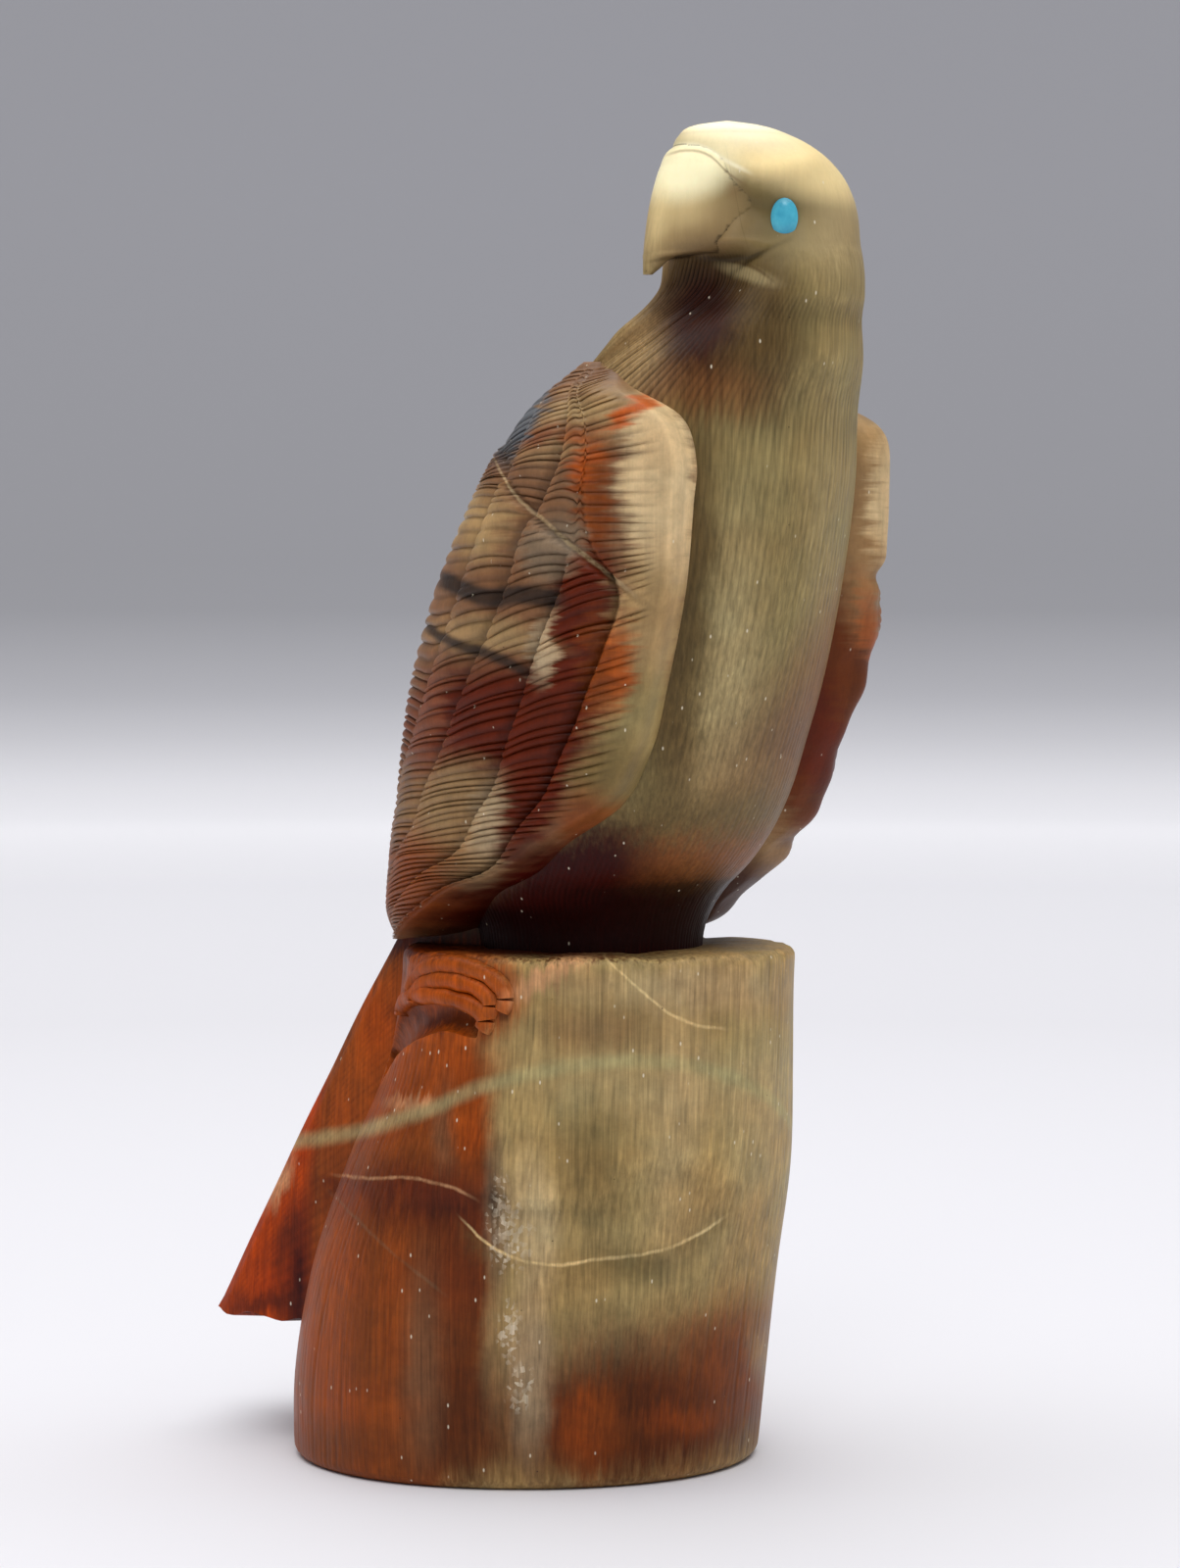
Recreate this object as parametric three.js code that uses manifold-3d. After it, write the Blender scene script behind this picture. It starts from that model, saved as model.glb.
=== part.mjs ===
// Eagle perched on a stump, carved from one block of banded stone, with an inlay in each eye socket.
// Millimetres, +Z up. The bird's breast faces -Y and its tail hangs down on the +Y side.
// The origin is the centre of the stump's flat underside.
import * as THREE from 'three';
import { LoftGeometry } from 'three/addons/geometries/LoftGeometry.js';
import { mergeVertices } from 'three/addons/utils/BufferGeometryUtils.js';
import Module from 'manifold-3d';

// Stump: the radii and the forward lean of its middle line, from the foot upwards
const stumpHeight = 38.6;
const footRadius = 17.4;
const bellyRadius = 17.7;
const topRadius = 14.5;
const topLean = 7.2;
const footEdge = 0.9;
const stumpOval = 0.065;
const stumpOvalTurn = THREE.MathUtils.degToRad(40);
const rimEdge = 0.8;

// Bird above the stump: every station below is a share of this height
const birdHeight = 59.6;

// Tail behind the stump
const tailEndHeight = 9.1;
const tailEndReach = 25.2;
const tailRootReach = 5;
const tailEndHalfWidth = 8.7;
const tailRootHalfWidth = 6.6;
const tailRootRise = 4;
const tailBend = 0.93;
const tailFlank = 4.2;
const tailCorner = 1.6;
const tailBevel = 0.3;
const tailCrown = 0.5;
const tailInnerShare = 0.8;

// Eye inlays
const eyeLength = 1.9;
const eyeTall = 2.65;
const eyeDepth = 2;
const eyeDome = 0.15;
const eyeClearance = 0.3;

// Head carriage
const headTurn = THREE.MathUtils.degToRad(113);
const headSide = 0.5;
const headForward = 22.2;

// Foot on each side of the stump's rim: folded toes arch over a channel, with a drilled hole in it.
// Angles are from the breast, in degrees, and drops are below the stump's top.
const footAngle = 100;
const toeRadius = 0.72;
const toeInset = 0.25;
const toeArches = [
  { middle: 8, span: 22, rise: 1.7, drop: 4.8 },
  { middle: 2, span: 17, rise: 1.8, drop: 3.7 },
  { middle: 1, span: 21, rise: 2.4, drop: 3.2 },
];
const toeArc = { start: -0.05 * Math.PI, end: 1.1 * Math.PI, steps: 7 };
const channelRadius = 1.6;
const channelDepth = 1.1;
const channelPath = [[-12, 4.5], [-5, 4.2], [2, 4.1], [12, 4.7], [22, 5.7], [31, 7], [41, 9]];
const footHoleAngle = 88;
const footHoleDrop = 4.6;
const footHoleRadius = 0.75;
const footHoleDepth = 2.4;

const stone = { roughness: 0.42, metalness: 0 };
const carvingMaterial = new THREE.MeshStandardMaterial({ color: 0xb08a62, ...stone });
const inlayMaterial = new THREE.MeshStandardMaterial({ color: 0x3fa8c4, roughness: 0.3, metalness: 0 });

// Trunk from the waist to the neck: height, lean, half width, front, back
const trunkStations = [
  [-0.035, 0.113, 0.133, 0.133, 0.15],
  [0.03, 0.115, 0.14, 0.137, 0.16],
  [0.07, 0.122, 0.165, 0.15, 0.183],
  [0.1, 0.14, 0.18, 0.163, 0.2],
  [0.14, 0.158, 0.193, 0.177, 0.208],
  [0.19, 0.173, 0.203, 0.19, 0.217],
  [0.257, 0.187, 0.21, 0.201, 0.225],
  [0.323, 0.2, 0.217, 0.21, 0.233],
  [0.44, 0.227, 0.218, 0.212, 0.225],
  [0.573, 0.254, 0.212, 0.208, 0.2],
  [0.657, 0.287, 0.19, 0.183, 0.175],
  [0.715, 0.325, 0.163, 0.16, 0.163],
  [0.77, 0.353, 0.139, 0.134, 0.141],
  [0.79, 0.362, 0.129, 0.126, 0.13],
  [0.815, 0.37, 0.114, 0.112, 0.112],
  [0.835, 0.372, 0.096, 0.096, 0.096],
  [0.85, 0.372, 0.04, 0.04, 0.04],
];

// Outline of the folded wings: height, lean, half width, front, back
const wingStations = [
  [-0.02, 0.115, 0.185, 0.17, 0.275],
  [0.04, 0.115, 0.225, 0.21, 0.287],
  [0.1, 0.14, 0.245, 0.23, 0.3],
  [0.185, 0.172, 0.252, 0.245, 0.32],
  [0.24, 0.183, 0.259, 0.253, 0.318],
  [0.323, 0.2, 0.267, 0.266, 0.314],
  [0.44, 0.227, 0.271, 0.281, 0.293],
  [0.523, 0.243, 0.265, 0.277, 0.26],
  [0.582, 0.254, 0.257, 0.27, 0.231],
  [0.632, 0.27, 0.239, 0.258, 0.212],
  [0.673, 0.295, 0.211, 0.222, 0.199],
  [0.707, 0.317, 0.175, 0.17, 0.18],
  [0.74, 0.333, 0.14, 0.133, 0.142],
];

// Leading edge of the wing from shoulder to tip: place, angle from the breast in degrees, height
const wingLead = [
  [0, 100, 0.707],
  [0.066, 82.6, 0.678],
  [0.171, 56.4, 0.632],
  [0.227, 48.8, 0.582],
  [0.271, 48, 0.537],
  [0.363, 46.4, 0.443],
  [0.481, 45, 0.32],
  [0.547, 45.7, 0.252],
  [0.616, 52.3, 0.183],
  [0.686, 68.6, 0.134],
  [0.731, 77.8, 0.1],
  [0.788, 94.8, 0.076],
  [0.844, 108, 0.045],
  [0.934, 130, 0.013],
  [1, 145, 0.002],
];

// Line where the wing ends on the back, in the same terms
const wingBack = [
  [0, 181, 0.72],
  [0.3, 181, 0.56],
  [0.6, 181, 0.33],
  [0.8, 178, 0.16],
  [0.92, 168, 0.055],
  [1, 152, 0.002],
];

// The left wing hangs a little lower along its lower edge and stands out more at the shoulder
const leftWingDrop = { most: 0.09, place: 0.71, spread: 0.1 };
const leftWingSwells = [
  { most: 0.9, place: 0.12, spread: 0.09 },
  { most: 0.45, place: 0.45, spread: 0.1 },
];

// Where each feather column starts across the wing, as shares from the leading edge to the back,
// by place along the wing. The first is the inner edge of the leading band.
const columnEdges = [
  [0, 0.2, 0.215, 0.26, 0.42, 0.6, 0.8],
  [0.2, 0.218, 0.233, 0.283, 0.45, 0.62, 0.8],
  [0.27, 0.218, 0.236, 0.31, 0.47, 0.63, 0.81],
  [0.33, 0.19, 0.236, 0.352, 0.49, 0.65, 0.82],
  [0.38, 0.13, 0.243, 0.362, 0.5, 0.66, 0.83],
  [0.45, 0.143, 0.272, 0.392, 0.52, 0.67, 0.84],
  [0.52, 0.167, 0.293, 0.43, 0.55, 0.69, 0.85],
  [0.6, 0.178, 0.305, 0.455, 0.58, 0.71, 0.86],
  [0.66, 0.146, 0.27, 0.45, 0.6, 0.72, 0.87],
  [0.74, 0.08, 0.21, 0.42, 0.6, 0.75, 0.88],
  [0.86, 0.085, 0.23, 0.42, 0.6, 0.75, 0.88],
  [1, 0.12, 0.28, 0.45, 0.6, 0.75, 0.88],
];
const columnStep = 0.8;
const columnRise = 0.85;
const stepEdge = { before: 0.004, after: 0.008 };

// The shoulder feathers sink to a saw line that crosses the wing, lower on the band than on the back.
// The line is a place along the wing at the leading edge and at the back.
const sawLine = { lead: 0.417, back: 0.07 };
const sawMiddle = 0.5 * (sawLine.lead + sawLine.back);
const sawBlend = 0.16;
const sawDepth = 0.45;
const sawWidth = 0.008;
const sawRamp = 3;
const wingRows = { above: 8, below: 16 };

// Leading band: how far it stands over the breast and the share of the wing that rolls in
const rollHeight = 2.6;
const rollShare = 0.055;
const rollStart = 0.015;
const bandSwell = 0.3;

// Head in its own frame: height, widest place, reach to the front, to the back, half width
const headStations = [
  [0.72, 0, 0.1, 0.11, 0.11],
  [0.78, 0, 0.125, 0.122, 0.128],
  [0.8, 0, 0.122, 0.12, 0.125],
  [0.82, 0, 0.119, 0.118, 0.122],
  [0.835, 0, 0.112, 0.117, 0.118],
  [0.85, 0, 0.092, 0.115, 0.113],
  [0.885, 0, 0.076, 0.113, 0.106],
  [0.91, 0, 0.09, 0.105, 0.103],
  [0.938, 0, 0.112, 0.088, 0.09],
  [0.96, 0.005, 0.114, 0.067, 0.075],
  [0.977, 0.02, 0.093, 0.049, 0.058],
  [0.989, 0.04, 0.055, 0.031, 0.038],
  [0.996, 0.052, 0.02, 0.018, 0.018],
];

// Hollow under the beak, in the head's frame: turn from the beak in degrees, reach, height,
// radii outwards, sideways and upwards, and how far its top leans in
const throat = { turn: 33, reach: 0.148, height: 0.79, radii: [0.04, 0.065, 0.08], tilt: 24 };

// Beak in the head's frame, in the same terms as the head
const beakStations = [
  [0.81, 0.159, 0.005, 0.006, 0.006],
  [0.819, 0.152, 0.0115, 0.01, 0.012],
  [0.828, 0.142, 0.02, 0.01, 0.022],
  [0.834, 0.125, 0.036, 0.02, 0.034],
  [0.839, 0.07, 0.091, 0.06, 0.048],
  [0.85, 0.055, 0.104, 0.06, 0.058],
  [0.885, 0.05, 0.103, 0.06, 0.064],
  [0.915, 0.045, 0.1, 0.05, 0.068],
  [0.94, 0.045, 0.091, 0.05, 0.066],
  [0.958, 0.05, 0.077, 0.04, 0.054],
  [0.972, 0.05, 0.055, 0.04, 0.038],
];

// Eyes, on the head's rings: place along the head and height, and the hollow under the brow
const eyeAlong = 0.03;
const eyeHeight = 0.875;
const eyeHollow = { along: 0.12, out: 0.04, tall: 0.05, depth: 0.014, rise: 0.01 };
const eyeRim = 0.6;
const eyeProfileShares = [0.82, 0.45];

const ringSides = 32;
const trunkRows = 14;
const headSides = 24;
const beakSides = 16;
const eyeSides = 16;
const toeSides = 6;
const channelSides = 10;
const hollowSides = 20;
const hollowRows = 12;
const eyeHollowSides = 24;
const eyeHollowRows = 16;
const tailRows = 10;
const wallRows = 8;
const edgeRows = 3;

// A smooth curve through stations, read by height or place
function curveThrough(stations) {
  const places = stations.map((station) => station[0]);
  const values = stations.flatMap((station) => station.slice(1));
  const width = stations[0].length - 1;
  const curve = new THREE.CubicInterpolant(places, values, width, new Array(width));
  return (place) => [...curve.evaluate(place)];
}

function range(count, from, to) {
  return Array.from({ length: count + 1 }, (_, step) => from + ((to - from) * step) / count);
}

// Solids
const wasm = await Module();
wasm.setup();

function solidFrom(geometry) {
  const bare = new THREE.BufferGeometry();
  bare.setAttribute('position', geometry.getAttribute('position'));
  bare.setIndex(geometry.getIndex());
  const merged = mergeVertices(bare, 1e-4);
  const corners = merged.index.array;
  const triangles = [];
  for (let i = 0; i < corners.length; i += 3) {
    const [a, b, c] = corners.slice(i, i + 3);
    if (a !== b && b !== c && c !== a) triangles.push(a, b, c);
  }
  const mesh = new wasm.Mesh({
    numProp: 3,
    vertProperties: new Float32Array(merged.attributes.position.array),
    triVerts: new Uint32Array(triangles),
  });
  return new wasm.Manifold(mesh);
}

function geometryFrom(solid) {
  const mesh = solid.getMesh();
  const geometry = new THREE.BufferGeometry();
  geometry.setAttribute('position', new THREE.BufferAttribute(mesh.vertProperties, 3));
  geometry.setIndex(new THREE.BufferAttribute(mesh.triVerts, 1));
  geometry.computeVertexNormals();
  return geometry;
}

function loft(sections) {
  return solidFrom(new LoftGeometry(sections, { capStart: true, capEnd: true }));
}

// An ellipsoid round the origin, its radii along X, Y and Z
function ellipsoid(radii, sides, rings) {
  return new THREE.SphereGeometry(1, sides, rings).scale(...radii);
}

// Stump: a leaning round that swells a little over its foot, with softened edges
const stumpStations = [
  [0, footRadius, 0],
  [0.17, bellyRadius, 0.07 * topLean],
  [0.38, bellyRadius - 0.3, 0.28 * topLean],
  [0.58, THREE.MathUtils.lerp(topRadius, bellyRadius, 0.6), 0.6 * topLean],
  [0.77, THREE.MathUtils.lerp(topRadius, bellyRadius, 0.17), 0.87 * topLean],
  [0.94, topRadius, 0.98 * topLean],
  [1, topRadius, topLean],
];
const stumpAt = curveThrough(stumpStations);

function circleAngles(sides) {
  return range(sides - 1, 0, (2 * Math.PI * (sides - 1)) / sides);
}

function stumpPoint(angle, height, lift) {
  const [radius, lean] = stumpAt(height / stumpHeight);
  const reach = radius * (1 + stumpOval * (Math.cos(2 * (angle - stumpOvalTurn)) - 1)) + lift;
  return new THREE.Vector3(reach * Math.sin(angle), -lean - reach * Math.cos(angle), height);
}

// A quarter round as pairs of rise and inset, from the flat face to the wall
function quarterRound(edge) {
  return range(edgeRows, 0, Math.PI / 2).map((turn) =>
    [edge * (1 - Math.cos(turn)), edge * (1 - Math.sin(turn))]);
}

function makeStump() {
  const foot = quarterRound(footEdge);
  const rim = quarterRound(rimEdge).map(([rise, inset]) => [stumpHeight - rise, inset]).reverse();
  const wall = range(wallRows, footEdge, stumpHeight - rimEdge).slice(1, -1).map((height) => [height, 0]);
  const levels = [...foot, ...wall, ...rim];
  return loft(levels.map(([height, inset]) =>
    circleAngles(ringSides).map((angle) => stumpPoint(angle, height, -inset)),
  ));
}

// Rings of the bird: an oval with its own reach to the front and to the back
function birdPoint(station, angle, height, lift = 0) {
  const [lean, halfWidth, front, back] = station;
  const cosine = Math.cos(angle);
  const reach = (cosine > 0 ? front : back) * birdHeight + lift;
  const side = halfWidth * birdHeight + lift;
  return new THREE.Vector3(
    side * Math.sin(angle),
    -lean * birdHeight - reach * cosine,
    stumpHeight + height * birdHeight,
  );
}

function makeTrunk() {
  const trunkAt = curveThrough(trunkStations);
  return loft(range(trunkRows, trunkStations[0][0], trunkStations.at(-1)[0]).map((height) =>
    circleAngles(ringSides).map((angle) => birdPoint(trunkAt(height), angle, height)),
  ));
}

// Height of the wing's surface over its outline, in millimetres
function wingLift(across, edges, sunk) {
  if (across < rollShare) {
    return -rollHeight * (1 - Math.sin((across / rollShare) * (Math.PI / 2)));
  }
  if (across < edges[0]) {
    return bandSwell * Math.sin((Math.PI * (across - rollShare)) / (edges[0] - rollShare));
  }
  const column = edges.findIndex((edge) => across <= edge);
  const start = edges[column - 1];
  const share = (across - start) / (edges[column] - start);
  return -sunk - columnStep * (1 - Math.sin((Math.PI / 2) * Math.min(1, share / columnRise)));
}

// Shares across the wing, with a pair at the start of each feather column
function wingAcross(edges) {
  const band = [0, rollStart, rollShare, 0.5 * (rollShare + edges[0])];
  const columns = edges.slice(0, -1).flatMap((start, index) =>
    [start - stepEdge.before, start + stepEdge.after, 0.5 * (start + edges[index + 1])]);
  return [...band, ...columns, 1];
}

// Places along the wing at half its width with how far the shoulder feathers are sunk there.
// A close pair of rows makes the saw line.
function wingPlaces() {
  const upper = range(wingRows.above, 0, sawMiddle).map((place) =>
    [place, sawDepth * (place / sawMiddle) ** sawRamp]);
  const lower = range(wingRows.below, sawMiddle + sawWidth, 1).map((place) => [place, 0]);
  return [...upper, ...lower];
}

// A smooth bump along the wing
function bump({ most, place, spread }, at) {
  return most * Math.exp(-(((at - place) / spread) ** 2));
}

function makeWing(side) {
  const outlineAt = curveThrough(wingStations);
  const leadAt = curveThrough(wingLead);
  const backAt = curveThrough(wingBack);
  const edgesAt = curveThrough(columnEdges);
  const sections = wingPlaces().map(([row, sunk]) => {
    const alongSaw = bump({ most: 1, place: sawMiddle, spread: sawBlend }, row);
    const placeOf = (share) =>
      row + alongSaw * (THREE.MathUtils.lerp(sawLine.lead, sawLine.back, share) - sawMiddle);
    const outer = wingAcross([...edgesAt(row), 1]).map((firstShare, index) => {
      const edges = [...edgesAt(placeOf(firstShare)), 1];
      const share = wingAcross(edges)[index];
      const place = placeOf(share);
      const [leadAngle, leadHeight] = leadAt(place);
      const [backAngle, backHeight] = backAt(place);
      const own = side > 0 ? 1 - share : 0;
      const angle = THREE.MathUtils.degToRad(THREE.MathUtils.lerp(leadAngle, backAngle, share));
      const height = THREE.MathUtils.lerp(leadHeight, backHeight, share) - own * bump(leftWingDrop, place);
      const swell = own * leftWingSwells.reduce((sum, each) => sum + bump(each, place), 0);
      return birdPoint(outlineAt(height), angle, height, wingLift(share, edges, sunk) + swell);
    });
    const middle = 0.5 * (leadAt(row)[1] + backAt(row)[1]);
    const inner = birdPoint(outlineAt(middle), 0, middle, -outlineAt(middle)[2] * birdHeight);
    return [inner, ...outer];
  });
  const turned = sections.map((section) => section.map((point) => point.setX(point.x * side)));
  return loft(side > 0 ? turned.reverse() : turned);
}

// Head and beak: rings turned towards the bird's right shoulder
const headFrame = new THREE.Matrix4()
  .makeTranslation(headSide, -headForward, stumpHeight)
  .multiply(new THREE.Matrix4().makeRotationZ(-Math.PI / 2 - headTurn));

function headPoint(along, aside, height) {
  return new THREE.Vector3(along, aside, height).multiplyScalar(birdHeight).applyMatrix4(headFrame);
}

// Rings at each station and halfway between
function headRings(stations, sides) {
  const ringAt = curveThrough(stations);
  const between = stations.slice(1).flatMap(([height], index) =>
    [0.5 * (height + stations[index][0]), height]);
  return [stations[0][0], ...between].map((height) => {
    const [middle, front, back, halfWidth] = ringAt(height);
    return circleAngles(sides).map((angle) => {
      const cosine = Math.cos(angle);
      return headPoint(middle + (cosine > 0 ? front : back) * cosine, halfWidth * Math.sin(angle), height);
    });
  });
}

function makeThroat() {
  const geometry = ellipsoid(throat.radii, hollowSides, hollowRows)
    .rotateY(-THREE.MathUtils.degToRad(throat.tilt))
    .translate(throat.reach, 0, throat.height)
    .rotateZ(THREE.MathUtils.degToRad(throat.turn))
    .scale(birdHeight, birdHeight, birdHeight);
  return solidFrom(geometry.applyMatrix4(headFrame));
}

// Frame of one eye: its origin on the head's ring, +Y straight out of the head, +Z up
function eyeFrame(side) {
  const [middle, front, , halfWidth] = curveThrough(headStations)(eyeHeight);
  const cosine = (eyeAlong - middle) / front;
  const sine = Math.sqrt(1 - cosine * cosine);
  const out = new THREE.Vector3(cosine / front, (side * sine) / halfWidth, 0).normalize();
  const up = new THREE.Vector3(0, 0, 1);
  const place = new THREE.Vector3(eyeAlong, side * halfWidth * sine, eyeHeight).multiplyScalar(birdHeight);
  return headFrame.clone()
    .multiply(new THREE.Matrix4().makeTranslation(place))
    .multiply(new THREE.Matrix4().makeBasis(out.clone().cross(up), out, up));
}

function makeEyeHollow(side) {
  const { along, out, tall, depth, rise } = eyeHollow;
  const geometry = ellipsoid([along, out, tall], eyeHollowSides, eyeHollowRows)
    .translate(0, out - depth, rise)
    .scale(birdHeight, birdHeight, birdHeight);
  return solidFrom(geometry.applyMatrix4(eyeFrame(side)));
}

// Oval turned shape of an eye, from pairs of share of its half width and place out from the hollow
function eyeOval(side, profile, clearance) {
  return new THREE.LatheGeometry(profile.map(([share, out]) => new THREE.Vector2(share, out)), eyeSides)
    .scale(eyeLength / 2 + clearance, 1, eyeTall / 2 + clearance)
    .translate(0, -eyeHollow.depth * birdHeight, 0)
    .applyMatrix4(eyeFrame(side));
}

function eyeSocket(side) {
  const floor = -eyeDepth - eyeClearance;
  return solidFrom(eyeOval(side, [[0, floor], [1, floor], [1, eyeDepth], [0, eyeDepth]], eyeClearance));
}

function eyeInlay(side) {
  const [shoulder, crown] = eyeProfileShares;
  const dome = [[1, 0], [shoulder, eyeRim * eyeDome], [crown, eyeDome], [0, eyeDome]];
  return eyeOval(side, [[0, -eyeDepth], [1, -eyeDepth], ...dome], 0);
}

// Tail: a slab hanging down behind the stump
function makeTail() {
  const rootHeight = stumpHeight + tailRootRise;
  const sections = range(tailRows, rootHeight, tailEndHeight).map((height) => {
    const share = (rootHeight - height) / (rootHeight - tailEndHeight);
    const halfWidth = THREE.MathUtils.lerp(tailRootHalfWidth, tailEndHalfWidth, share);
    const back = THREE.MathUtils.lerp(tailRootReach, tailEndReach, share ** tailBend);
    const front = -stumpAt(height / stumpHeight)[1];
    const bevel = tailBevel * tailCorner;
    const edge = [
      [halfWidth * tailInnerShare, front],
      [halfWidth, back - tailFlank],
      [halfWidth, back - tailCorner],
      [halfWidth - bevel, back - bevel],
      [halfWidth - tailCorner, back],
    ];
    const mirrored = edge.map(([x, y]) => [-x, y]);
    const outline = [...mirrored, [0, back + tailCrown], ...edge.reverse()];
    return outline.map(([x, y]) => new THREE.Vector3(x, y, height));
  });
  return loft(sections);
}

// A round bar along points, closed at both ends
function barAlong(points, radius, sides) {
  const curve = new THREE.CatmullRomCurve3(points);
  const steps = points.length - 1;
  const frames = curve.computeFrenetFrames(steps, false);
  return loft(range(steps, 0, 1).map((share, step) =>
    circleAngles(sides).map((angle) =>
      curve.getPoint(share)
        .addScaledVector(frames.normals[step], radius * Math.cos(angle))
        .addScaledVector(frames.binormals[step], radius * Math.sin(angle)),
    ),
  ));
}

// Points round the foot on one side, from its angle off the foot's middle and its drop below the stump's top
function footPoint(side, angle, drop, lift) {
  return stumpPoint(side * THREE.MathUtils.degToRad(footAngle + angle), stumpHeight - drop, lift);
}

function makeToes(side) {
  const [inner, middle, outer] = toeArches.map((arch) =>
    barAlong(range(toeArc.steps, toeArc.start, toeArc.end).map((turn) => footPoint(
      side,
      arch.middle + arch.span * Math.cos(turn),
      arch.drop - arch.rise * Math.sin(turn),
      -toeInset,
    )), toeRadius, toeSides));
  return inner.add(middle).add(outer);
}

function footChannel(side) {
  const lift = channelRadius - channelDepth;
  const path = channelPath.map(([angle, drop]) => footPoint(side, angle, drop, lift));
  return barAlong(path, channelRadius, channelSides);
}

function footHole(side) {
  const points = range(2, -footHoleDepth, channelRadius).map((lift) =>
    footPoint(side, footHoleAngle - footAngle, footHoleDrop, lift));
  return barAlong(points, footHoleRadius, channelSides);
}

function bothSides(make) {
  return make(-1).add(make(1));
}

const head = loft(headRings(headStations, headSides))
  .add(makeTrunk())
  .subtract(makeThroat())
  .subtract(bothSides(makeEyeHollow));

const carving = makeStump()
  .add(makeTail())
  .subtract(bothSides(footChannel))
  .subtract(bothSides(footHole))
  .add(bothSides(makeToes))
  .add(head)
  .add(bothSides(makeWing))
  .add(loft(headRings(beakStations, beakSides)))
  .subtract(bothSides(eyeSocket));

const group = new THREE.Group();
const pieces = [
  ['eagle_on_stump', geometryFrom(carving), carvingMaterial],
  ['left_eye_inlay', eyeInlay(1), inlayMaterial],
  ['right_eye_inlay', eyeInlay(-1), inlayMaterial],
];
for (const [name, geometry, material] of pieces) {
  const mesh = new THREE.Mesh(geometry, material);
  mesh.name = name;
  group.add(mesh);
}

export default group;
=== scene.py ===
# Eagle perched on a stump, carved from one block of banded stone, with turquoise eyes.
import math
import bmesh
import bpy
import numpy as np
from mathutils import Matrix, Vector


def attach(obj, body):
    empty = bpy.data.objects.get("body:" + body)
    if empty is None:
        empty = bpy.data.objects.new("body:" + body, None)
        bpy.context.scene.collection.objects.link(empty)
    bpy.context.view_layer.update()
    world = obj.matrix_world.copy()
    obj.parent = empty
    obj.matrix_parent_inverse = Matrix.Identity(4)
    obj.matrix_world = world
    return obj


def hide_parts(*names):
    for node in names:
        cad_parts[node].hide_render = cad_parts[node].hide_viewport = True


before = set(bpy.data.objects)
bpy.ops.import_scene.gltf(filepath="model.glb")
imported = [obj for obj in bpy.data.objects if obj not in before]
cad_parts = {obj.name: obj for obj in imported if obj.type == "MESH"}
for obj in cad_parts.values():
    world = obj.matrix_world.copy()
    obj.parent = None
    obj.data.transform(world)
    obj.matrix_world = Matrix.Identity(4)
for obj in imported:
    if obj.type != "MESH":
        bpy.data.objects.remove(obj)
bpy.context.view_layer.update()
print("solids loaded")

mm = 0.001

# Camera at the photograph's place
cameraValues = {"place": (-234.4, -203.0, 61.7), "turn": (87.9, 0.0, -50.0), "lens": 94.86}
cameraData = bpy.data.cameras.new("camera")
cameraData.lens = cameraValues["lens"]
cameraData.clip_start = 0.01
camera = bpy.data.objects.new("camera", cameraData)
camera.location = [value * mm for value in cameraValues["place"]]
camera.rotation_euler = [math.radians(value) for value in cameraValues["turn"]]
bpy.context.scene.collection.objects.link(camera)
bpy.context.scene.camera = camera


# A smooth curve through stations, read by their first value
def curveThrough(stations):
    table = np.array(stations, float)
    places, values = table[:, 0], table[:, 1:]
    slopes = np.diff(values, axis=0) / np.diff(places)[:, None]
    tangents = np.vstack([slopes[:1], 0.5 * (slopes[1:] + slopes[:-1]), slopes[-1:]])

    def at(place):
        place = np.clip(np.asarray(place, float), places[0], places[-1])
        low = np.clip(np.searchsorted(places, place, side="right") - 1, 0, len(places) - 2)
        span = places[low + 1] - places[low]
        t = ((place - places[low]) / span)[..., None]
        span = span[..., None]
        return (
            values[low] * (2 * t**3 - 3 * t**2 + 1)
            + tangents[low] * span * (t**3 - 2 * t**2 + t)
            + values[low + 1] * (3 * t**2 - 2 * t**3)
            + tangents[low + 1] * span * (t**3 - t**2)
        )

    return at


def smoothRise(low, high, value):
    t = np.clip((value - low) / (high - low), 0, 1)
    return t * t * (3 - 2 * t)


def bell(value, middle, spread):
    return np.exp(-(((value - middle) / spread) ** 2))


unevenValues = {"waves": 7, "shortest": 0.7, "longest": 1.5}


# Soft unevenness from a few seeded waves over points of millimetres
def unevenness(points, size, seed):
    values = unevenValues
    draw = np.random.default_rng(seed)
    total = np.zeros(len(points))
    for _ in range(values["waves"]):
        direction = draw.normal(size=3)
        direction /= np.linalg.norm(direction)
        wave = size * draw.uniform(values["shortest"], values["longest"])
        total += np.sin(2 * np.pi * (points @ direction) / wave + draw.uniform(0, 2 * np.pi))
    return 2 * total / values["waves"]


# Angles in degrees brought to -180 to 180
def wrapTurn(degrees):
    return (degrees + 180) % 360 - 180


# Puts a finished shape into a mesh and the mesh into the scene
def newPiece(name, shape):
    mesh = bpy.data.meshes.new(name)
    shape.to_mesh(mesh)
    shape.free()
    piece = bpy.data.objects.new(name, mesh)
    bpy.context.scene.collection.objects.link(piece)
    return piece


mergeDistance = 2e-7


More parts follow.
